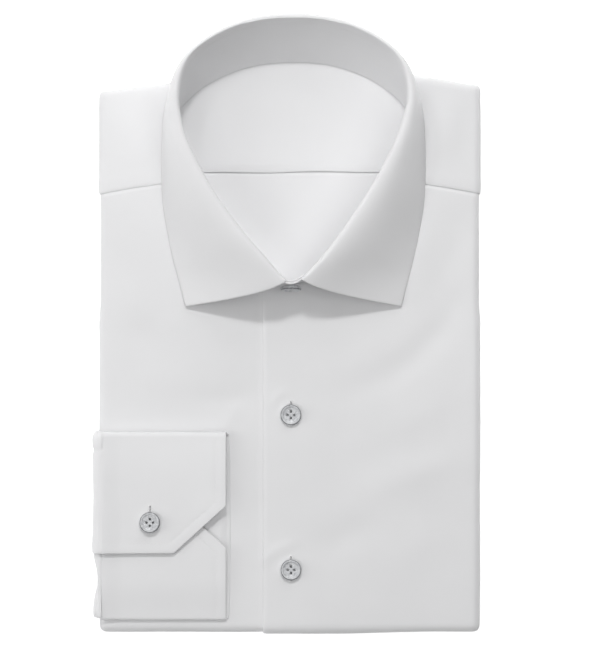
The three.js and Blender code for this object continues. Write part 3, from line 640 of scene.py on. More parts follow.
def stand_point(station, share):
    """The stand's mid-surface, from the seam at share 0 to its top edge at 1; its right end laps outside."""
    station, share = np.broadcast_arrays(np.asarray(station, float), share)
    out = outward_at(station)
    from_front = np.minimum(np.abs(station + 0.5), np.abs(station - STATIONS + 0.5))
    inset = ROLL_INSET * (1 - FRONT_CLOSES * bell(from_front, FRONT_REACH))
    top = fold_at(station) - out * inset[..., None]
    top[..., 2] -= ROLL_DROP
    # the two ends draw apart evenly over the stretch where they lie on each other
    ramp = 2 * STAND_OVERLAP
    lap = np.clip((station - STATIONS + STAND_OVERLAP) / ramp + 0.5, 0, 1)
    lap -= np.clip((STAND_OVERLAP - station) / ramp, 0, 1)
    return mix(seam_at(station), top, share[..., None]) + out * (lap * STAND_STEP)[..., None]


def bezier(points, t):
    """A Bezier curve of any degree: points is a list of arrays (stations, 3), t the shares along it."""
    points = [point[:, None, :] for point in points]
    t = t[None, :, None]
    while len(points) > 1:
        points = [a + (b - a) * t for a, b in zip(points, points[1:])]
    return points[0]


def leaf_middle(columns=300, roll_rows=14, fall_rows=44):
    """The leaf's mid-surface: up from the stand, over the crest and out to its edge."""
    trim = 0.045  # of a station, for the rounded rim beyond the grid
    station = np.linspace(trim, STATIONS - 1 - trim, columns)
    from_left, from_right = station, STATIONS - 1 - station
    from_end = np.minimum(from_left, from_right)
    top = stand_point(station, 1.0)
    up = unit(top - stand_point(station, 0.0))
    start = top + up * ROLL_CLEAR
    crest, edge = fold_at(station), leaf_at(station)
    over = start + up * ((crest[:, 2] - start[:, 2]) / up[:, 2])[:, None]
    fall = edge - crest
    level_fall = fall * [1, 1, 0]
    edge = edge - unit(level_fall) * COLLAR_WALL / 2
    near_end = bell(from_end, END_STATIONS)
    reach = ROLL_LEAD + (ROLL_LEAD_SHARE - END_LEAD_LOSS * near_end) * np.linalg.norm(level_fall, axis=1)
    lead = crest + unit(level_fall + outward_at(station) * ROLL_OUTWARD) * reach[:, None]
    settled = edge - (SETTLED_ACROSS + END_SETTLED_GAIN * near_end)[:, None] * fall
    sag = LEFT_SAG * bell(from_left, SAG_STATIONS) + RIGHT_SAG * bell(from_right, SAG_STATIONS)
    bulge = FRONT_BULGE * bell(from_end, FRONT_STATIONS)
    settled -= stacked(0, bulge, SETTLED_DOWN * fall[:, 2] + sag)
    lead -= stacked(0, bulge, SAG_AT_CREST * sag)
    roll = bezier([start, over, crest], np.linspace(0, 1, roll_rows))
    down = bezier([crest, lead, settled, edge], np.linspace(0, 1, fall_rows))
    return np.concatenate([roll, down[:, 1:]], axis=1)


# ---- build the top layer ----
def front(name, close, count, side, inner_edge, lift, extra):
    """A front with the neck cut out; its columns lie close at the given distances from its inner edge."""
    edge_at = right_edge if side > 0 else left_edge
    close = np.array(close) / abs(edge_at(EDGE) - side * EDGE - inner_edge)
    shares = np.concatenate([close, np.linspace(close[-1], 1, count)[1:]])
    piece = shell(name, front_panel(shares, side, inner_edge, lift, extra), CLOTH, COTTON)
    cut(piece, *neck_room())
    return piece


# close steps over the placket's rolled edge
PLACKET_STEPS = [0, 0.4, 0.8, 1.2, 1.6, 2.1, 2.7, 3.4, 4.3, 5.4, 6.6]
# the button band, and close steps over the pressed lines beside it
BAND_STEPS = [*np.linspace(0, 30, 14), *np.arange(31.05, 35.9, 0.45)]
left_inner = PLACKET_EDGE + CLOTH / 2
front_left = front("front_left_cloth", PLACKET_STEPS, 84, 1, left_inner, placket_lift, left_extra)
front_right = front("front_right_cloth", BAND_STEPS, 66, -1, BAND_END, np.zeros_like, right_extra)


def yoke_middle():
    """The shoulders: from the front seam over the fold at the top, rounded and a little proud at the seam."""
    left, right = left_edge(BODY_LENGTH) + EDGE, right_edge(BODY_LENGTH) - EDGE
    u = np.concatenate([left - fold_run[::-1], np.linspace(left, right, 150), right + fold_run])[:, None]
    share = np.concatenate([np.linspace(0, 0.12, 9)[:-1], np.linspace(0.12, 1, 44)])[None, :]
    start = seam_y(u) + GAP / 2 + CLOTH / 2
    end = top_edge(u) - EDGE
    v = np.concatenate([mix(start, end, share), end + fold_run[None, :]], axis=1)
    middle = body_point(np.broadcast_to(u, v.shape), v)
    from_seam = v - start
    relief = body_relief(middle[..., 0], middle[..., 1]) - edge_dip(from_seam)
    relief += YOKE_PROUD * np.exp(-from_seam / YOKE_PROUD_REACH) * smooth(from_seam, -1, 2)
    relief += SEAM_RIDGE * bell(from_seam - SEAM_RIDGE_AT, SEAM_RIDGE_WIDTH)
    return raised(middle, relief)


def edge_dip(from_seam, depth=0.12, reach=0.8):
    """How far a seam's edge turns down."""
    return depth * np.exp(-np.maximum(from_seam, 0) / reach)


yoke = shell("yoke_cloth", yoke_middle(), CLOTH, COTTON)
cut(yoke, *neck_room())

# ---- inside of the neck ----
half_seam = np.array([line[0] for line in COLLAR], float)
widest = int(np.argmax(half_seam[:, 1] > NECK_WIDEST_Y))
neck_half = half_seam[: widest + 1]
neck_back = half_seam[widest:][::-1]
THINNER = 0.2  # these are thinner than the solids, so their middle is higher


def neck_width(y):
    return np.interp(y + DISH_MARGIN, neck_half[:, 1], neck_half[:, 0]) + DISH_MARGIN


def dished(side):
    """1 over the middle of the neck, falling to 0 at its sides."""
    return 1 - side**4


def back_middle(columns=110, rows=56, under=4, slope=40):
    """The back below its seam, dished, and tucked under the inner yoke."""
    side = np.linspace(-1, 1, columns)[:, None]
    y = np.linspace(DISH_FRONT, DISH_SEAM + under, rows)[None, :]
    x = COLLAR_X + side * neck_width(y)
    depth = DISH_DEPTH * smooth(y, DISH_FRONT, DISH_FRONT + slope)
    tuck = 0.9 * smooth(y, DISH_SEAM - 1.6, DISH_SEAM + 0.4)
    wave = 0.15 * np.sin(x / 15 + 0.7) * np.sin(y / 13)
    return stacked(x, y, DISH_RIM + THINNER - depth * dished(side) - tuck + wave)


def inner_seam_wave(x):
    """The inner yoke seam isn't quite straight."""
    return 0.35 * np.sin(x / 19 + 0.4) + 0.25 * np.sin(x / 8.3)


def inner_yoke_middle(columns=130, rows=50):
    """The inner yoke from its seam to the back of the collar, with a puffed seam."""
    side = np.linspace(-1, 1, columns)[:, None]
    share = np.concatenate([np.linspace(0, 0.1, 10)[:-1], np.linspace(0.1, 1, rows)])[None, :]
    start = DISH_SEAM + GAP / 2 + CLOTH / 2
    half = neck_width(start)
    x = side * mix(half, half - 6, share)
    back = np.interp(np.abs(x), neck_back[:, 0], neck_back[:, 1]) + 1.5
    y = mix(start + inner_seam_wave(x) * (1 - side**8), back, share)
    rim = mix(DISH_RIM, DISH_BACK_RIM, smooth(share, 0.3, 0.9))
    z = mix(DISH_RIM - DISH_DEPTH, rim, 1 - dished(side) * dished(share)) + THINNER
    from_seam = y - start
    puff = INNER_PUFF * smooth(from_seam, -1, 5) * np.exp(-from_seam / INNER_PUFF_REACH)
    roll = INNER_ROLL * np.exp(-np.maximum(from_seam, 0) / INNER_ROLL_REACH)
    wave = 0.2 * np.sin(x / 21 + 0.4) * np.sin(y / 17)
    return stacked(COLLAR_X + x, y, z + (puff + roll) * dished(side) - edge_dip(from_seam) + wave)


# the inside of the neck takes the lighter copy of the cloth, painted light against the collar's shade
back = shell("back_cloth", back_middle(), CLOTH, COTTON_PAINTED_LIGHT)
inner_yoke = shell("inner_yoke_cloth", inner_yoke_middle(), CLOTH, COTTON_PAINTED_LIGHT)

# ---- the collar ----
def stand_middle(columns=320, rows=22):
    station = np.linspace(-STAND_OVERLAP, STATIONS - 1 + STAND_OVERLAP, columns)[:, None]
    return stand_point(station, np.linspace(0, 1, rows)[None, :])


collar_stand = shell("collar_stand_cloth", stand_middle(), STAND_WALL, COTTON)
collar_leaf = shell("collar_leaf_cloth", leaf_middle(), COLLAR_WALL, COTTON)

# ---- the cuff ----
def flap_edge(end, way):
    """The free edge of a flap, well past its ends: end is its free end, way the side it comes from."""
    return [
        (CUFF_RIGHT, end + way * 180), (CUFF_RIGHT, end + way * MITRE_LENGTH),
        (CUFF_RIGHT - MITRE_WIDTH, end), (-200, end),
    ]


def cuff_path():
    """The strip's way across: y, z, and which layer it is in (0 under, 1 rolls and lower, 2 upper)."""
    half = CUFF_WALL / 2
    low_r, high_r = (CUFF_UNDER_Z - CUFF_LOWER_Z) / 2, (CUFF_UPPER_Z - CUFF_LOWER_Z) / 2
    low, high = CUFF_BOTTOM + half + low_r, CUFF_TOP - half - high_r
    parts = []

    def line(start, end, z, layer, step=1.3):
        y = np.linspace(start, end, max(int(abs(end - start) / step), 2))[:-1]
        parts.append(stacked(y, z, layer))

    def roll(y, z, radius, facing):
        angle = np.linspace(0, math.pi, 17)[:-1]
        parts.append(stacked(y + facing * radius * np.sin(angle), z - facing * radius * np.cos(angle), 1))

    line(CUFF_UNDER_END - half, CUFF_UNDER_END - MITRE_LENGTH, CUFF_UNDER_Z, 0)
    line(CUFF_UNDER_END - MITRE_LENGTH, low, CUFF_UNDER_Z, 0)
    roll(low, CUFF_LOWER_Z + low_r, low_r, -1)
    line(low, high, CUFF_LOWER_Z, 1)
    roll(high, CUFF_LOWER_Z + high_r, high_r, 1)
    line(high, CUFF_UPPER_END + MITRE_LENGTH, CUFF_UPPER_Z, 2)
    line(CUFF_UPPER_END + MITRE_LENGTH, CUFF_UPPER_END + half, CUFF_UPPER_Z, 2)
    parts.append([[CUFF_UPPER_END + half, CUFF_UPPER_Z, 2]])
    return np.concatenate(parts)


def seam_relief(x, y, edge_line):
    """The seam's line of stitches lies in a groove, and the hem outside it is a little full."""
    distance, _ = distance_to_line(x, np.broadcast_to(y, np.shape(x)), edge_line)
    groove = GROOVE * bell(distance - CUFF_SEAM, GROOVE_WIDTH)
    return HEM_FULL * bell(distance - CUFF_SEAM / 2, HEM_WIDTH) - groove


def left_curl(x, height):
    """Both flaps curl up at the end that is sewn to the sleeve."""
    return height * smooth(-x, -CUFF_LEFT - LEFT_CURL_REACH, -CUFF_LEFT)


def upper_flap_relief(x, y):
    """The upper flap slopes down to its roll and curls up a little at both its sides."""
    wave = 0.12 * np.sin(x / 14 + 0.5) * np.sin(y / 11 + 0.8)
    curl = RIGHT_CURL * smooth(x, CUFF_RIGHT - RIGHT_CURL_REACH, CUFF_RIGHT) + left_curl(x, UPPER_LEFT_CURL)
    slope = UPPER_SLOPE * smooth(y, CUFF_TOP - UPPER_SLOPE_REACH, CUFF_TOP) ** 1.5
    return wave + curl - slope + seam_relief(x, y, flap_edge(CUFF_UPPER_END, 1))


def under_flap_relief(x, y):
    """The under flap slopes down to its own roll."""
    wave = 0.1 * np.sin(x / 17 + 0.9) * np.sin(y / 9 + 0.3)
    slope = UNDER_SLOPE * smooth(-y, -CUFF_BOTTOM - UNDER_SLOPE_REACH, -CUFF_BOTTOM)
    relief = seam_relief(x, y, flap_edge(CUFF_UNDER_END, -1))
    return wave + left_curl(x, UNDER_LEFT_CURL) - slope + relief


def cuff_middle(columns=62):
    """The cuff's mid-surface: a strip folded in three, cut back at the mitres of both its ends."""
    y, z, layer = cuff_path().T
    half = CUFF_WALL / 2
    end = np.where(layer == 0, CUFF_UNDER_END, CUFF_UPPER_END)
    from_end = np.where(layer == 1, MITRE_LENGTH, np.minimum(np.abs(y - end), MITRE_LENGTH))
    cut_back = MITRE_WIDTH * (1 - from_end / MITRE_LENGTH)
    lower_share = smooth(CUFF_UNDER_Z - z, 0.3, 2.2)
    # the lower layer is wider than the flaps, with its corners a little rounded
    bow = np.sin(math.pi * np.clip((y - CUFF_BOTTOM) / (CUFF_TOP - CUFF_BOTTOM), 0, 1)) ** 0.15
    right = mix(CUFF_RIGHT, CUFF_LOWER_RIGHT, np.where(layer == 1, lower_share * bow, 0)) - cut_back - half
    share = np.concatenate([np.linspace(0, 0.86, columns), np.linspace(0.86, 1, 16)[1:]])[:, None]
    x = mix(CUFF_LEFT - CUFF_TUCK + half, right[None, :], share)
    # how far each place follows the upper flap or the under flap: wholly on it, and less down its roll
    high_side = y > (CUFF_TOP + CUFF_BOTTOM) / 2
    rise = z - CUFF_LOWER_Z
    upper = np.where(layer == 1, high_side * rise / (CUFF_UPPER_Z - CUFF_LOWER_Z), layer == 2)
    under = np.where(layer == 1, ~high_side * rise / (CUFF_UNDER_Z - CUFF_LOWER_Z), layer == 0)
    z = z + upper * upper_flap_relief(x, y) + under * under_flap_relief(x, y)
    z -= LOWER_SETTLE * (layer == 1) * lower_share * smooth(x, CUFF_RIGHT - 4, CUFF_RIGHT + 1)
    return stacked(x, y, z)


cuff = outward(shell("cuff_cloth", cuff_middle(), CUFF_WALL, COTTON))

# ---- the sleeve ----
sleeve_table = np.array(SLEEVE_LINES, float)
TUBE_IN, TUBE_DOWN = 0.95, 2.6  # how far the tube gives way under the cuff's upper flap
FLAP_IN, FLAP_DOWN = 0.4, 0.45  # its upper side lies inside and below the same lines
# swellings and dents of the upper side at the left edge: y, half-width, how far they stand out
FLAP_BULGES = [(50, 6, 0.4), (78, 9, -0.4), (105, 1.6, -0.8), (111, 4, 0.24)]
NOTCH_Y, NOTCH_WIDTH, NOTCH_DEPTH = 105, 1.4, 0.5


def sleeve_rings(stations=70, round_steps=13, flat_steps=64):
    """Rings of the flattened tube along its way round the left edge."""
    share = np.linspace(0, 1, stations)
    lines = catmull(sleeve_table, share)
    outer, inner = lines[:, :2], lines[:, 2:]
    follow = np.clip((share * (len(SLEEVE_LINES) - 1) - 1) / 2, 0, 1)
    middle = (outer + inner) / 2
    across = (outer - inner) / 2
    radius = np.linalg.norm(across, axis=1)[:, None]
    centre = (SLEEVE_LOW + SLEEVE_HIGH) / 2
    straight = (SLEEVE_HIGH - SLEEVE_LOW) / 2 - radius
    round_angle = np.linspace(0, math.pi, round_steps)
    flat = np.linspace(1, -1, flat_steps + 2)[1:-1]
    ring_y, ring_side = [], []
    for facing in (1, -1):
        for y, side in (
            (straight + radius * np.sin(round_angle), np.cos(round_angle)),
            (straight * flat, np.full(flat_steps, -1.0)),
        ):
            ring_y.append(centre + facing * y)
            ring_side.append(np.tile(facing * side, (stations, 1)))
    y = np.concatenate(ring_y, axis=1)
    side = np.concatenate(ring_side, axis=1)
    edge = mix(left_edge(centre + 40), left_edge(y), follow[:, None])
    # under the upper flap the tube lies lower and further in
    top_side = np.maximum(side, 0)
    share = share[:, None]
    inward = smooth(share, 0.05, 0.25) * (1 - smooth(share, 0.62, 0.72))
    dx = TUBE_IN * smooth(y, CUFF_UPPER_END - 1, CUFF_UPPER_END + 4) * top_side * inward
    dz = -TUBE_DOWN * (1 - smooth(share, 0.1, 0.32)) * top_side
    x = edge + middle[:, :1] + across[:, :1] * side + dx
    return stacked(x, y, middle[:, 1:] + across[:, 1:] * side + dz)


SLEEVE_ROUND, SLEEVE_RUN = 0.22, 0.09  # metres of cloth round the tube and along what shows


def tube(name, rings, thickness, material):
    """A closed wall inside a stack of rings."""
    wrapped = np.concatenate([rings[:, -1:], rings, rings[:, :1]], axis=1)
    around = unit(wrapped[:, 2:] - wrapped[:, :-2])
    along = unit(np.gradient(rings, axis=0))
    normal = unit(np.cross(along, around))
    centre = rings.mean(axis=1, keepdims=True)
    if np.sum(normal * (rings - centre)) < 0:
        normal = -normal
    inner = rings - normal * thickness
    stations, count = rings.shape[:2]
    points = np.concatenate([rings.reshape(-1, 3), inner.reshape(-1, 3)])
    ids = np.arange(stations * count).reshape(stations, count)
    walls = [ring_faces(ids), ring_faces(ids)[:, ::-1] + ids.size]
    ends = [ring_faces(np.stack([ring, ring + ids.size])) for ring in (ids[0], ids[-1])]
    place = stacked(
        np.linspace(0, SLEEVE_ROUND, count)[None, :], np.linspace(0, SLEEVE_RUN, stations)[:, None]
    ).reshape(-1, 2)
    return outward(make_mesh(name, points, np.concatenate(walls + ends), material, np.tile(place, (2, 1))))


def sleeve_flap_middle(stations=56, rows=56):
    """The upper side of the sleeve, from the cuff round the left edge."""
    share = np.linspace(0, 0.68, stations)[:, None]
    dx, z = np.hsplit(catmull(sleeve_table, share[:, 0])[:, :2], 2)
    y = np.linspace(CUFF_UPPER_END + 0.6, SLEEVE_HIGH - 1.6, rows)[None, :]
    bulge = sum(height * bell(y - at, width) for at, width, height in FLAP_BULGES)
    end_roll = 1.6 * smooth(y, SLEEVE_HIGH - 6, SLEEVE_HIGH) ** 2
    side_roll = smooth(share, 0.05, 0.3) * (1 - smooth(share, 0.6, 0.68))
    x = left_edge(np.maximum(y, 60)) + dx + FLAP_IN + (0.6 * end_roll - bulge) * side_roll
    notch = NOTCH_DEPTH * bell(y - NOTCH_Y, NOTCH_WIDTH) * (1 - smooth(share, 0.2, 0.45))
    return stacked(x, y, z - FLAP_DOWN - end_roll * (1 - smooth(share, 0.2, 0.4)) - notch)


sleeve = tube("sleeve_cloth", sleeve_rings(), CLOTH, COTTON)
sleeve_flap = outward(shell("sleeve_flap_cloth", sleeve_flap_middle(), CLOTH, COTTON))

# ---- the layers folded underneath ----
def rim_line(step=2.5):
    """Places round the line where the edges start to turn, with the way out of each."""
    left, right = left_edge(BODY_LENGTH) + EDGE, right_edge(BODY_LENGTH) - EDGE
    corners = np.array(
        [
            [left_edge(EDGE) + EDGE, EDGE], [right_edge(EDGE) - EDGE, EDGE],
            [right, top_edge(right) - EDGE], [left, top_edge(left) - EDGE],
        ]
    )
    rows = []
    for k in range(4):
        start, end = corners[k], corners[(k + 1) % 4]
        places = mix(start, end, np.linspace(0, 1, int(np.linalg.norm(end - start) / step))[:, None])
        if k == 1:
            places[:, 0] = right_edge(places[:, 1]) - EDGE
        if k == 2:
            places[:, 1] = top_edge(places[:, 0]) - EDGE
        if k == 3:
            places[:, 0] = left_edge(places[:, 1]) + EDGE
        facing = (k - 1) * math.pi / 2
        ways = np.tile([math.cos(facing), math.sin(facing)], (len(places), 1))
        turn = facing + np.linspace(0, math.pi / 2, 10)[1:-1]
        ways_round = stacked(np.cos(turn), np.sin(turn))
        ways_round /= corner_norm(ways_round[:, 0], ways_round[:, 1])[:, None]
        rows.append(np.concatenate([places, ways], axis=1))
        rows.append(np.concatenate([np.tile(end, (len(turn), 1)), ways_round], axis=1))
    return np.concatenate(rows)


LAYERS = [(0, 3.8, 6.3), (4.1, 7.7, 6.4), (7.9, 11.6, 6.1)]  # bottom, top, reach
INSIDE = [-26.0, -14.0, -5.0]  # rings on a layer's flat, from its middle outwards
LAYER_MIDDLE_Y = 165
SLEEVE_ROOM = 3.65  # the height of the sleeve where it passes under the left edge
ROOM_IN, ROOM_FROM, ROOM_TO = (75, 80), (4.5, 9), (113, 118)  # from -x, and from and to y


def folded_layers():
    """Thin flat solids with round edges that wander a little, one on the other."""
    rim = rim_line()
    along = np.arange(len(rim)) / len(rim) * 2 * math.pi
    all_points, all_faces, start = [], [], 0
    for number, (low, high, reach) in enumerate(LAYERS):
        radius = (high - low) / 2
        wander = 0.45 * np.sin(3 * along + number) + 0.35 * np.sin(7 * along + 2.1 * number)
        turn = np.linspace(-math.pi / 2, math.pi / 2, 13)
        out = np.concatenate([INSIDE, reach - radius + radius * np.cos(turn), INSIDE[::-1]])[:, None]
        z = np.concatenate([[low] * 3, (low + high) / 2 + radius * np.sin(turn), [high] * 3])[:, None]
        shift = out + wander * smooth(out, -6, 3)
        rings = stacked(rim[:, 0] + rim[:, 2] * shift, rim[:, 1] + rim[:, 3] * shift, z)
        points, faces = ring_solid(rings, [0, LAYER_MIDDLE_Y, low], [0, LAYER_MIDDLE_Y, high])
        x, y = points[:, 0], points[:, 1]
        over_sleeve = smooth(-x, *ROOM_IN) * smooth(y, *ROOM_FROM) * (1 - smooth(y, *ROOM_TO))
        points[:, 2] = np.maximum(points[:, 2], SLEEVE_ROOM * over_sleeve)
        all_points.append(points)
        all_faces += [[k + start for k in face] for face in faces]
        start += len(points)
    points = np.concatenate(all_points)
    return outward(make_mesh("folded_layers", points, all_faces, COTTON, points[:, :2] / 1000))


layers = folded_layers()

# ---- sewing ----
def stitch_tree():
    """A spindle of thread at every pitch along a line, lying along it or turned across it."""
    tree = bpy.data.node_groups.new("stitches", "GeometryNodeTree")
    for name, kind in (
        ("Line", "Geometry"), ("Pitch", "Float"), ("Length", "Float"), ("Thickness", "Float"),
        ("Turn", "Float"), ("Thread", "Material"),
    ):
        tree.interface.new_socket(name, in_out="INPUT", socket_type="NodeSocket" + kind)
    tree.interface.new_socket("Stitches", in_out="OUTPUT", socket_type="NodeSocketGeometry")
    given = add_node(tree, "NodeGroupInput").outputs

    def step(kind, settings=None, inputs=None, **links):
        """A node's first output, with links from the outputs of earlier ones."""
        return add_node(tree, kind, settings, inputs, links).outputs[0]

    line = step("GeometryNodeMeshToCurve", Mesh=given["Line"])
    even = step("GeometryNodeResampleCurve", {"mode": "LENGTH"}, Curve=line, Length=given["Pitch"])
    ball = step("GeometryNodeMeshUVSphere", {}, {"Segments": 6, "Rings": 4, "Radius": 0.5})
    size = step("ShaderNodeCombineXYZ", X=given["Length"], Y=given["Thickness"], Z=given["Thickness"])
    turn = step("ShaderNodeCombineXYZ", Z=given["Turn"])
    spindle = step("GeometryNodeTransform", Geometry=ball, Scale=size, Rotation=turn)
    rounded = step("GeometryNodeSetShadeSmooth", Geometry=spindle)
    tangent = step("GeometryNodeInputTangent")
    along = step("FunctionNodeAlignRotationToVector", {"axis": "X"}, Vector=tangent)
    placed = step("GeometryNodeInstanceOnPoints", Points=even, Instance=rounded, Rotation=along)
    real = step("GeometryNodeRealizeInstances", Geometry=placed)
    dressed = step("GeometryNodeSetMaterial", Geometry=real, Material=given["Thread"])
    add_node(tree, "NodeGroupOutput", links={"Stitches": dressed})
    return tree


STITCHES = stitch_tree()


def sewn(name, lines, sizes):
    """Stitches along polylines in millimetres; sizes are the tree's own, in metres and radians."""
    edges, start = [], 0
    for line in lines:
        edges += [(k, k + 1) for k in range(start, start + len(line) - 1)]
        start += len(line)
    mesh = bpy.data.meshes.new(name)
    mesh.from_pydata(to_scene(np.concatenate(lines)).tolist(), edges, [])
    piece = new_object(name, mesh)
    modifier = piece.modifiers.new("stitches", "NODES")
    modifier.node_group = STITCHES
    values = {"Thread": THREAD, **sizes}
    for item in STITCHES.interface.items_tree:
        if item.in_out == "INPUT" and item.name in values:
            modifier[item.identifier] = values[item.name]
    settle(piece)
    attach(piece, "root")


SEAM_STITCH = {"Pitch": 0.0021, "Length": 0.0018, "Thickness": 0.0003, "Turn": 0.0}
HOLE_STITCH = {"Pitch": 0.0004, "Length": 0.0010, "Thickness": 0.0005, "Turn": math.pi / 2}  # turned across


def place_along(points, inset, from_end=False):
    """The point at a length along a line of points, from its start or its end."""
    lengths = np.concatenate([[0], np.cumsum(np.linalg.norm(np.diff(points, axis=0), axis=1))])
    wanted = lengths[-1] - inset if from_end else inset
    return [np.interp(wanted, lengths, points[:, k]) for k in range(3)]


def leaf_seam_line(crest_row=18):
    """The line of stitches round the leaf's three free edges, on its outer face."""
    grid = leaf_middle()
    normal = grid_slopes(grid)[2]
    # the outer face is where the normals look if they look up near the middle of the leaf's fall
    facing = np.sign(normal[len(grid) // 2, 40, 2])
    face = grid + normal * facing * COLLAR_WALL / 2
    inset = LEAF_SEAM - COLLAR_WALL / 2
    outer = np.array([place_along(column, inset, from_end=True) for column in face])
    first, last = (
        np.array([place_along(row, inset) for row in face[::order].transpose(1, 0, 2)[crest_row:]])
        for order in (1, -1)
    )

    def meeting(front):
        """Where a front line and the outer line come closest."""
        gaps = np.linalg.norm(front[:, None] - outer[None], axis=-1)
        return np.unravel_index(np.argmin(gaps), gaps.shape)

    (first_row, first_column), (last_row, last_column) = meeting(first), meeting(last)
    return np.concatenate([first[:first_row], outer[first_column:last_column], last[:last_row][::-1]])


def cuff_seam_line(end, way, z, relief):
    """The stitches inside a flap's mitred edge: end is its free end, way the side it comes from."""
    slope = math.hypot(MITRE_LENGTH, MITRE_WIDTH)
    near_right, end_y = CUFF_RIGHT - CUFF_SEAM, end + way * CUFF_SEAM
    # where the mitre's own line, moved in by the width of the hem, meets the other two
    corner_y = end + way * (MITRE_LENGTH + CUFF_SEAM * (slope - MITRE_LENGTH) / MITRE_WIDTH)
    corner_x = CUFF_RIGHT - MITRE_WIDTH + CUFF_SEAM * (MITRE_WIDTH - slope) / MITRE_LENGTH
    start_y = end + way * (CUFF_TOP - CUFF_UPPER_END - 8)
    corners = [(near_right, start_y), (near_right, corner_y), (corner_x, end_y), (CUFF_LEFT + 1, end_y)]
    x, y = (np.interp(np.linspace(0, 3, 181), np.arange(4), values) for values in zip(*corners))
    return np.column_stack([x, y, z + CUFF_WALL / 2 + relief(x, y)])


sewn("collar_leaf_stitches", [leaf_seam_line()], SEAM_STITCH)
sewn(
    "cuff_stitches",
    [
        cuff_seam_line(CUFF_UPPER_END, 1, CUFF_UPPER_Z, upper_flap_relief),
        cuff_seam_line(CUFF_UNDER_END, -1, CUFF_UNDER_Z, under_flap_relief),
    ],
    SEAM_STITCH,
)

HOLE_HALF_LENGTH, HOLE_HALF_WIDTH = 7.2, 0.85  # a buttonhole's worked edge, at the middle of its thread
SLIT_HALF_LENGTH, SLIT_HALF_WIDTH, SLIT_BELOW, SLIT_ABOVE = 6.7, 0.2, 2.6, 2


def buttonhole(name, cloth, x, y, face_at):
    """A slit along the shirt with worked edges, cut in a piece whose face has the height face_at(x, y)."""
    turn = np.linspace(0, 2 * math.pi, 161)
    across, along = np.sin(turn), np.cos(turn)
    # straight sides, and ends that are a little pointed
    ring_x = x + HOLE_HALF_WIDTH * np.sign(across) * np.abs(across) ** 0.16
    ring_y = y + HOLE_HALF_LENGTH * np.sign(along) * np.abs(along) ** 0.9
    corners = np.array([(-1, -1), (1, -1), (1, 1), (-1, 1)])
    slit = corners * [SLIT_HALF_WIDTH, SLIT_HALF_LENGTH] + [x, y]
    height = float(face_at(np.array([x]), np.array([y]))[0])
    cut(cloth, *prism(slit, height - SLIT_BELOW, height + SLIT_ABOVE))
    sewn(name, [np.column_stack([ring_x, ring_y, face_at(ring_x, ring_y)])], HOLE_STITCH)


def placket_face(x, y):
    """The height of the left front's outer face."""
    return TOP_Z + placket_lift(x) + body_relief(x, y) + left_extra(x) + CLOTH / 2


def cuff_face(x, y):
    """The height of the upper flap's outer face."""
    return CUFF_UPPER_Z + upper_flap_relief(x, y) + CUFF_WALL / 2


# a button sits a little below the middle of its hole
HOLE_X, HOLE_ABOVE_BUTTON = 0.1, 0.9
CUFF_HOLE = (-80.9, 66.2)
for number, y in enumerate(FRONT_BUTTONS_Y):
    hole_y = y + HOLE_ABOVE_BUTTON
    buttonhole(f"placket_buttonhole_{number + 1}", front_left, HOLE_X, hole_y, placket_face)
buttonhole("cuff_buttonhole", cuff, *CUFF_HOLE, cuff_face)

# ---- buttons ----
BUTTON_PROFILE = [
    (0, 0), (4.2, 0), (5.0, 0.06), (5.55, 0.35), (5.85, 0.75), (6, 1.2), (5.95, 1.7), (5.75, 2.15),
    (5.45, 2.42), (5.1, 2.5), (4.8, 2.42), (4.5, 2.15), (4.2, 1.92), (3.7, 1.8), (2, 1.74), (0, 1.72),
]
BUTTON_PAINTED_SHADE_ROWS = (0, 1, 5, 6)  # rows of faces at the wall's back edge and front edge, in a darker copy of the resin: painted shade for the button's dark rim
BUTTON_HOLE_R, BUTTON_HOLE_AT = 0.7, 1.88  # and how far the holes lie from its middle


def button(name, foot, axis, node, turns=72, hole_turns=16):
    """A turned four-hole button: foot is the middle of its back, axis the way its face looks."""
    profile = np.array(BUTTON_PROFILE[1:-1], float)
    x, y = circle(turns).T
    rings = stacked(x * profile[:, :1], y * profile[:, :1], profile[:, 1:])
    points, faces = ring_solid(rings, *([0, 0, z] for _, z in (BUTTON_PROFILE[0], BUTTON_PROFILE[-1])))
    piece = outward(make_mesh(name, turned(points, foot, axis), faces, RESIN))
    # rows of the wall take the darker copy of the resin: painted shade
    piece.data.materials.append(RESIN_PAINTED_SHADE)
    for row in BUTTON_PAINTED_SHADE_ROWS:
        for face in piece.data.polygons[row * turns : (row + 1) * turns]:
            face.material_index = 1
    for middle in circle(4) * BUTTON_HOLE_AT:
        points, faces = prism(circle(hole_turns) * BUTTON_HOLE_R + middle, -1, 4)
        cut(piece, turned(points, foot, axis), faces)
    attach(piece, "root")
    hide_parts(node)


def circle(count):
    """Places on a round of radius 1."""
    turn = np.arange(count) / count * 2 * math.pi
    return stacked(np.cos(turn), np.sin(turn))


def turned(points, foot, axis):
    """Points round +Z turned so that +Z looks along axis, and moved to foot."""
    z = unit(np.asarray(axis, float))
    x = unit(np.cross([0, 1, 0], z)) if abs(z[1]) < 0.9 else np.array([1.0, 0, 0])
    y = np.cross(z, x)
    return points @ np.stack([x, y, z]) + foot


def box_in_shirt_frame(node):
    """The lowest corner of a node's box and its middle."""
    low, high = ((np.array(corner) - PLACE) * 1000 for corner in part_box(node))
    return low, (low + high) / 2


for node in ("button_front_1", "button_front_2"):
    low, middle = box_in_shirt_frame(node)
    button(node + "_resin", np.array([*middle[:2], low[2]]), (0, 0, 1), node)
# the cuff's button stands on its thread and leans a little to the left and up
THREAD_LENGTH, CUFF_BUTTON_AXIS = 0.6, (-0.12, 0.08, 1)
_, middle = box_in_shirt_frame("button_cuff")
cuff_foot = np.array([*middle[:2], float(cuff_face(*middle[:2, None])[0]) + THREAD_LENGTH])
button("button_cuff_resin", cuff_foot, CUFF_BUTTON_AXIS, "button_cuff")
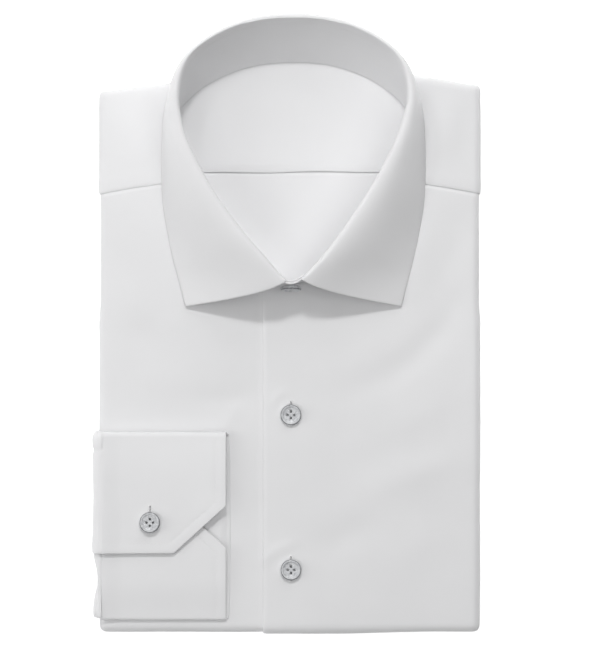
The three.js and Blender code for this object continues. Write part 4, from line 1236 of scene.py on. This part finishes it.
# the collar's button looks forward and a little up
COLLAR_BUTTON_AXIS, COLLAR_BUTTON_FORWARD = unit(np.array([0, -1, 0.16])), 0.9
_, middle = box_in_shirt_frame("button_collar")
collar_foot = middle - COLLAR_BUTTON_AXIS * BUTTON_THICK / 2 - [0, COLLAR_BUTTON_FORWARD, 0]
button("button_collar_resin", collar_foot, COLLAR_BUTTON_AXIS, "button_collar")

# ---- what each piece stands for ----
for piece, node, slot in (
    (front_left, "front_left", "cotton"),
    (front_right, "front_right", "cotton"),
    (yoke, "yoke", "cotton"),
    (inner_yoke, "yoke", "cotton_inside"),
    (back, "back", "cotton_inside"),
    (collar_stand, "collar_stand", "cotton"),
    (collar_leaf, "collar_leaf", "cotton"),
    (cuff, "cuff", "cotton"),
    (sleeve, "sleeve", "cotton"),
    (sleeve_flap, "sleeve", "cotton"),
    (layers, "core", "cotton_inside"),
):
    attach(piece, "root")
    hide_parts(node)

# ---- floor, light and camera ----
FLOOR_LEFT, FLOOR_RIGHT, FLOOR_NEAR, FLOOR_FAR = -1500, 1500, -1300, 1700
floor = make_mesh(
    "floor",
    [
        (FLOOR_LEFT, FLOOR_NEAR, 0), (FLOOR_RIGHT, FLOOR_NEAR, 0),
        (FLOOR_RIGHT, FLOOR_FAR, 0), (FLOOR_LEFT, FLOOR_FAR, 0),
    ],
    [[0, 1, 2, 3]],
    studio_paper(),
)

world = bpy.data.worlds.new("studio")
world.use_nodes = True
background = world.node_tree.nodes["Background"]
background.inputs["Color"].default_value = (1, 1, 1, 1)
background.inputs["Strength"].default_value = 0.004
bpy.context.scene.world = world

# round softboxes all about: height and way round in degrees (0 is to the right, 90 past the collar),
# width in metres, watts
SOFTBOXES = [
    (52, 93, 0.14, 5.1), (50, 116, 0.14, 1.2), (68, 0, 0.6, 2.3), (68, 240, 0.6, 1.3), (68, 60, 0.6, 1.0),
    (50, 240, 0.9, 2.8), (50, 150, 0.9, 0.3), (32, 60, 0.9, 3.2), (32, 180, 0.9, 3.1), (15, 180, 0.9, 2.2),
    (15, 90, 0.9, 2.1), (15, 270, 0.9, 0.4), (15, 0, 0.9, 0.3),
]
SOFTBOX_AWAY = 1.3  # metres, from the point that they all look at
LOOKED_AT = Vector((0, 0, 0.03))


def softbox(name, height, way_round, width, watts):
    rise, turn = math.radians(height), math.radians(way_round)
    toward = Vector((math.cos(turn) * math.cos(rise), math.sin(turn) * math.cos(rise), math.sin(rise)))
    data = bpy.data.lights.new(name, "AREA")
    data.shape = "DISK"
    data.size = width
    data.energy = watts
    made = new_object(name, data)
    made.location = LOOKED_AT + toward * SOFTBOX_AWAY
    made.rotation_euler = toward.to_track_quat("Z", "Y").to_euler()


for number, sizes in enumerate(SOFTBOXES):
    softbox(f"softbox_{number + 1}", *sizes)

CAMERA_PLACE = (5.2, 177, 3026)  # millimetres, straight above
camera_data = bpy.data.cameras.new("camera")
camera_data.sensor_width = 36
camera_data.lens = 288.5
camera_data.clip_end = 20
camera = new_object("camera", camera_data)
camera.location = to_scene(CAMERA_PLACE)
bpy.context.scene.camera = camera
bpy.context.scene.view_settings.view_transform = "Standard"
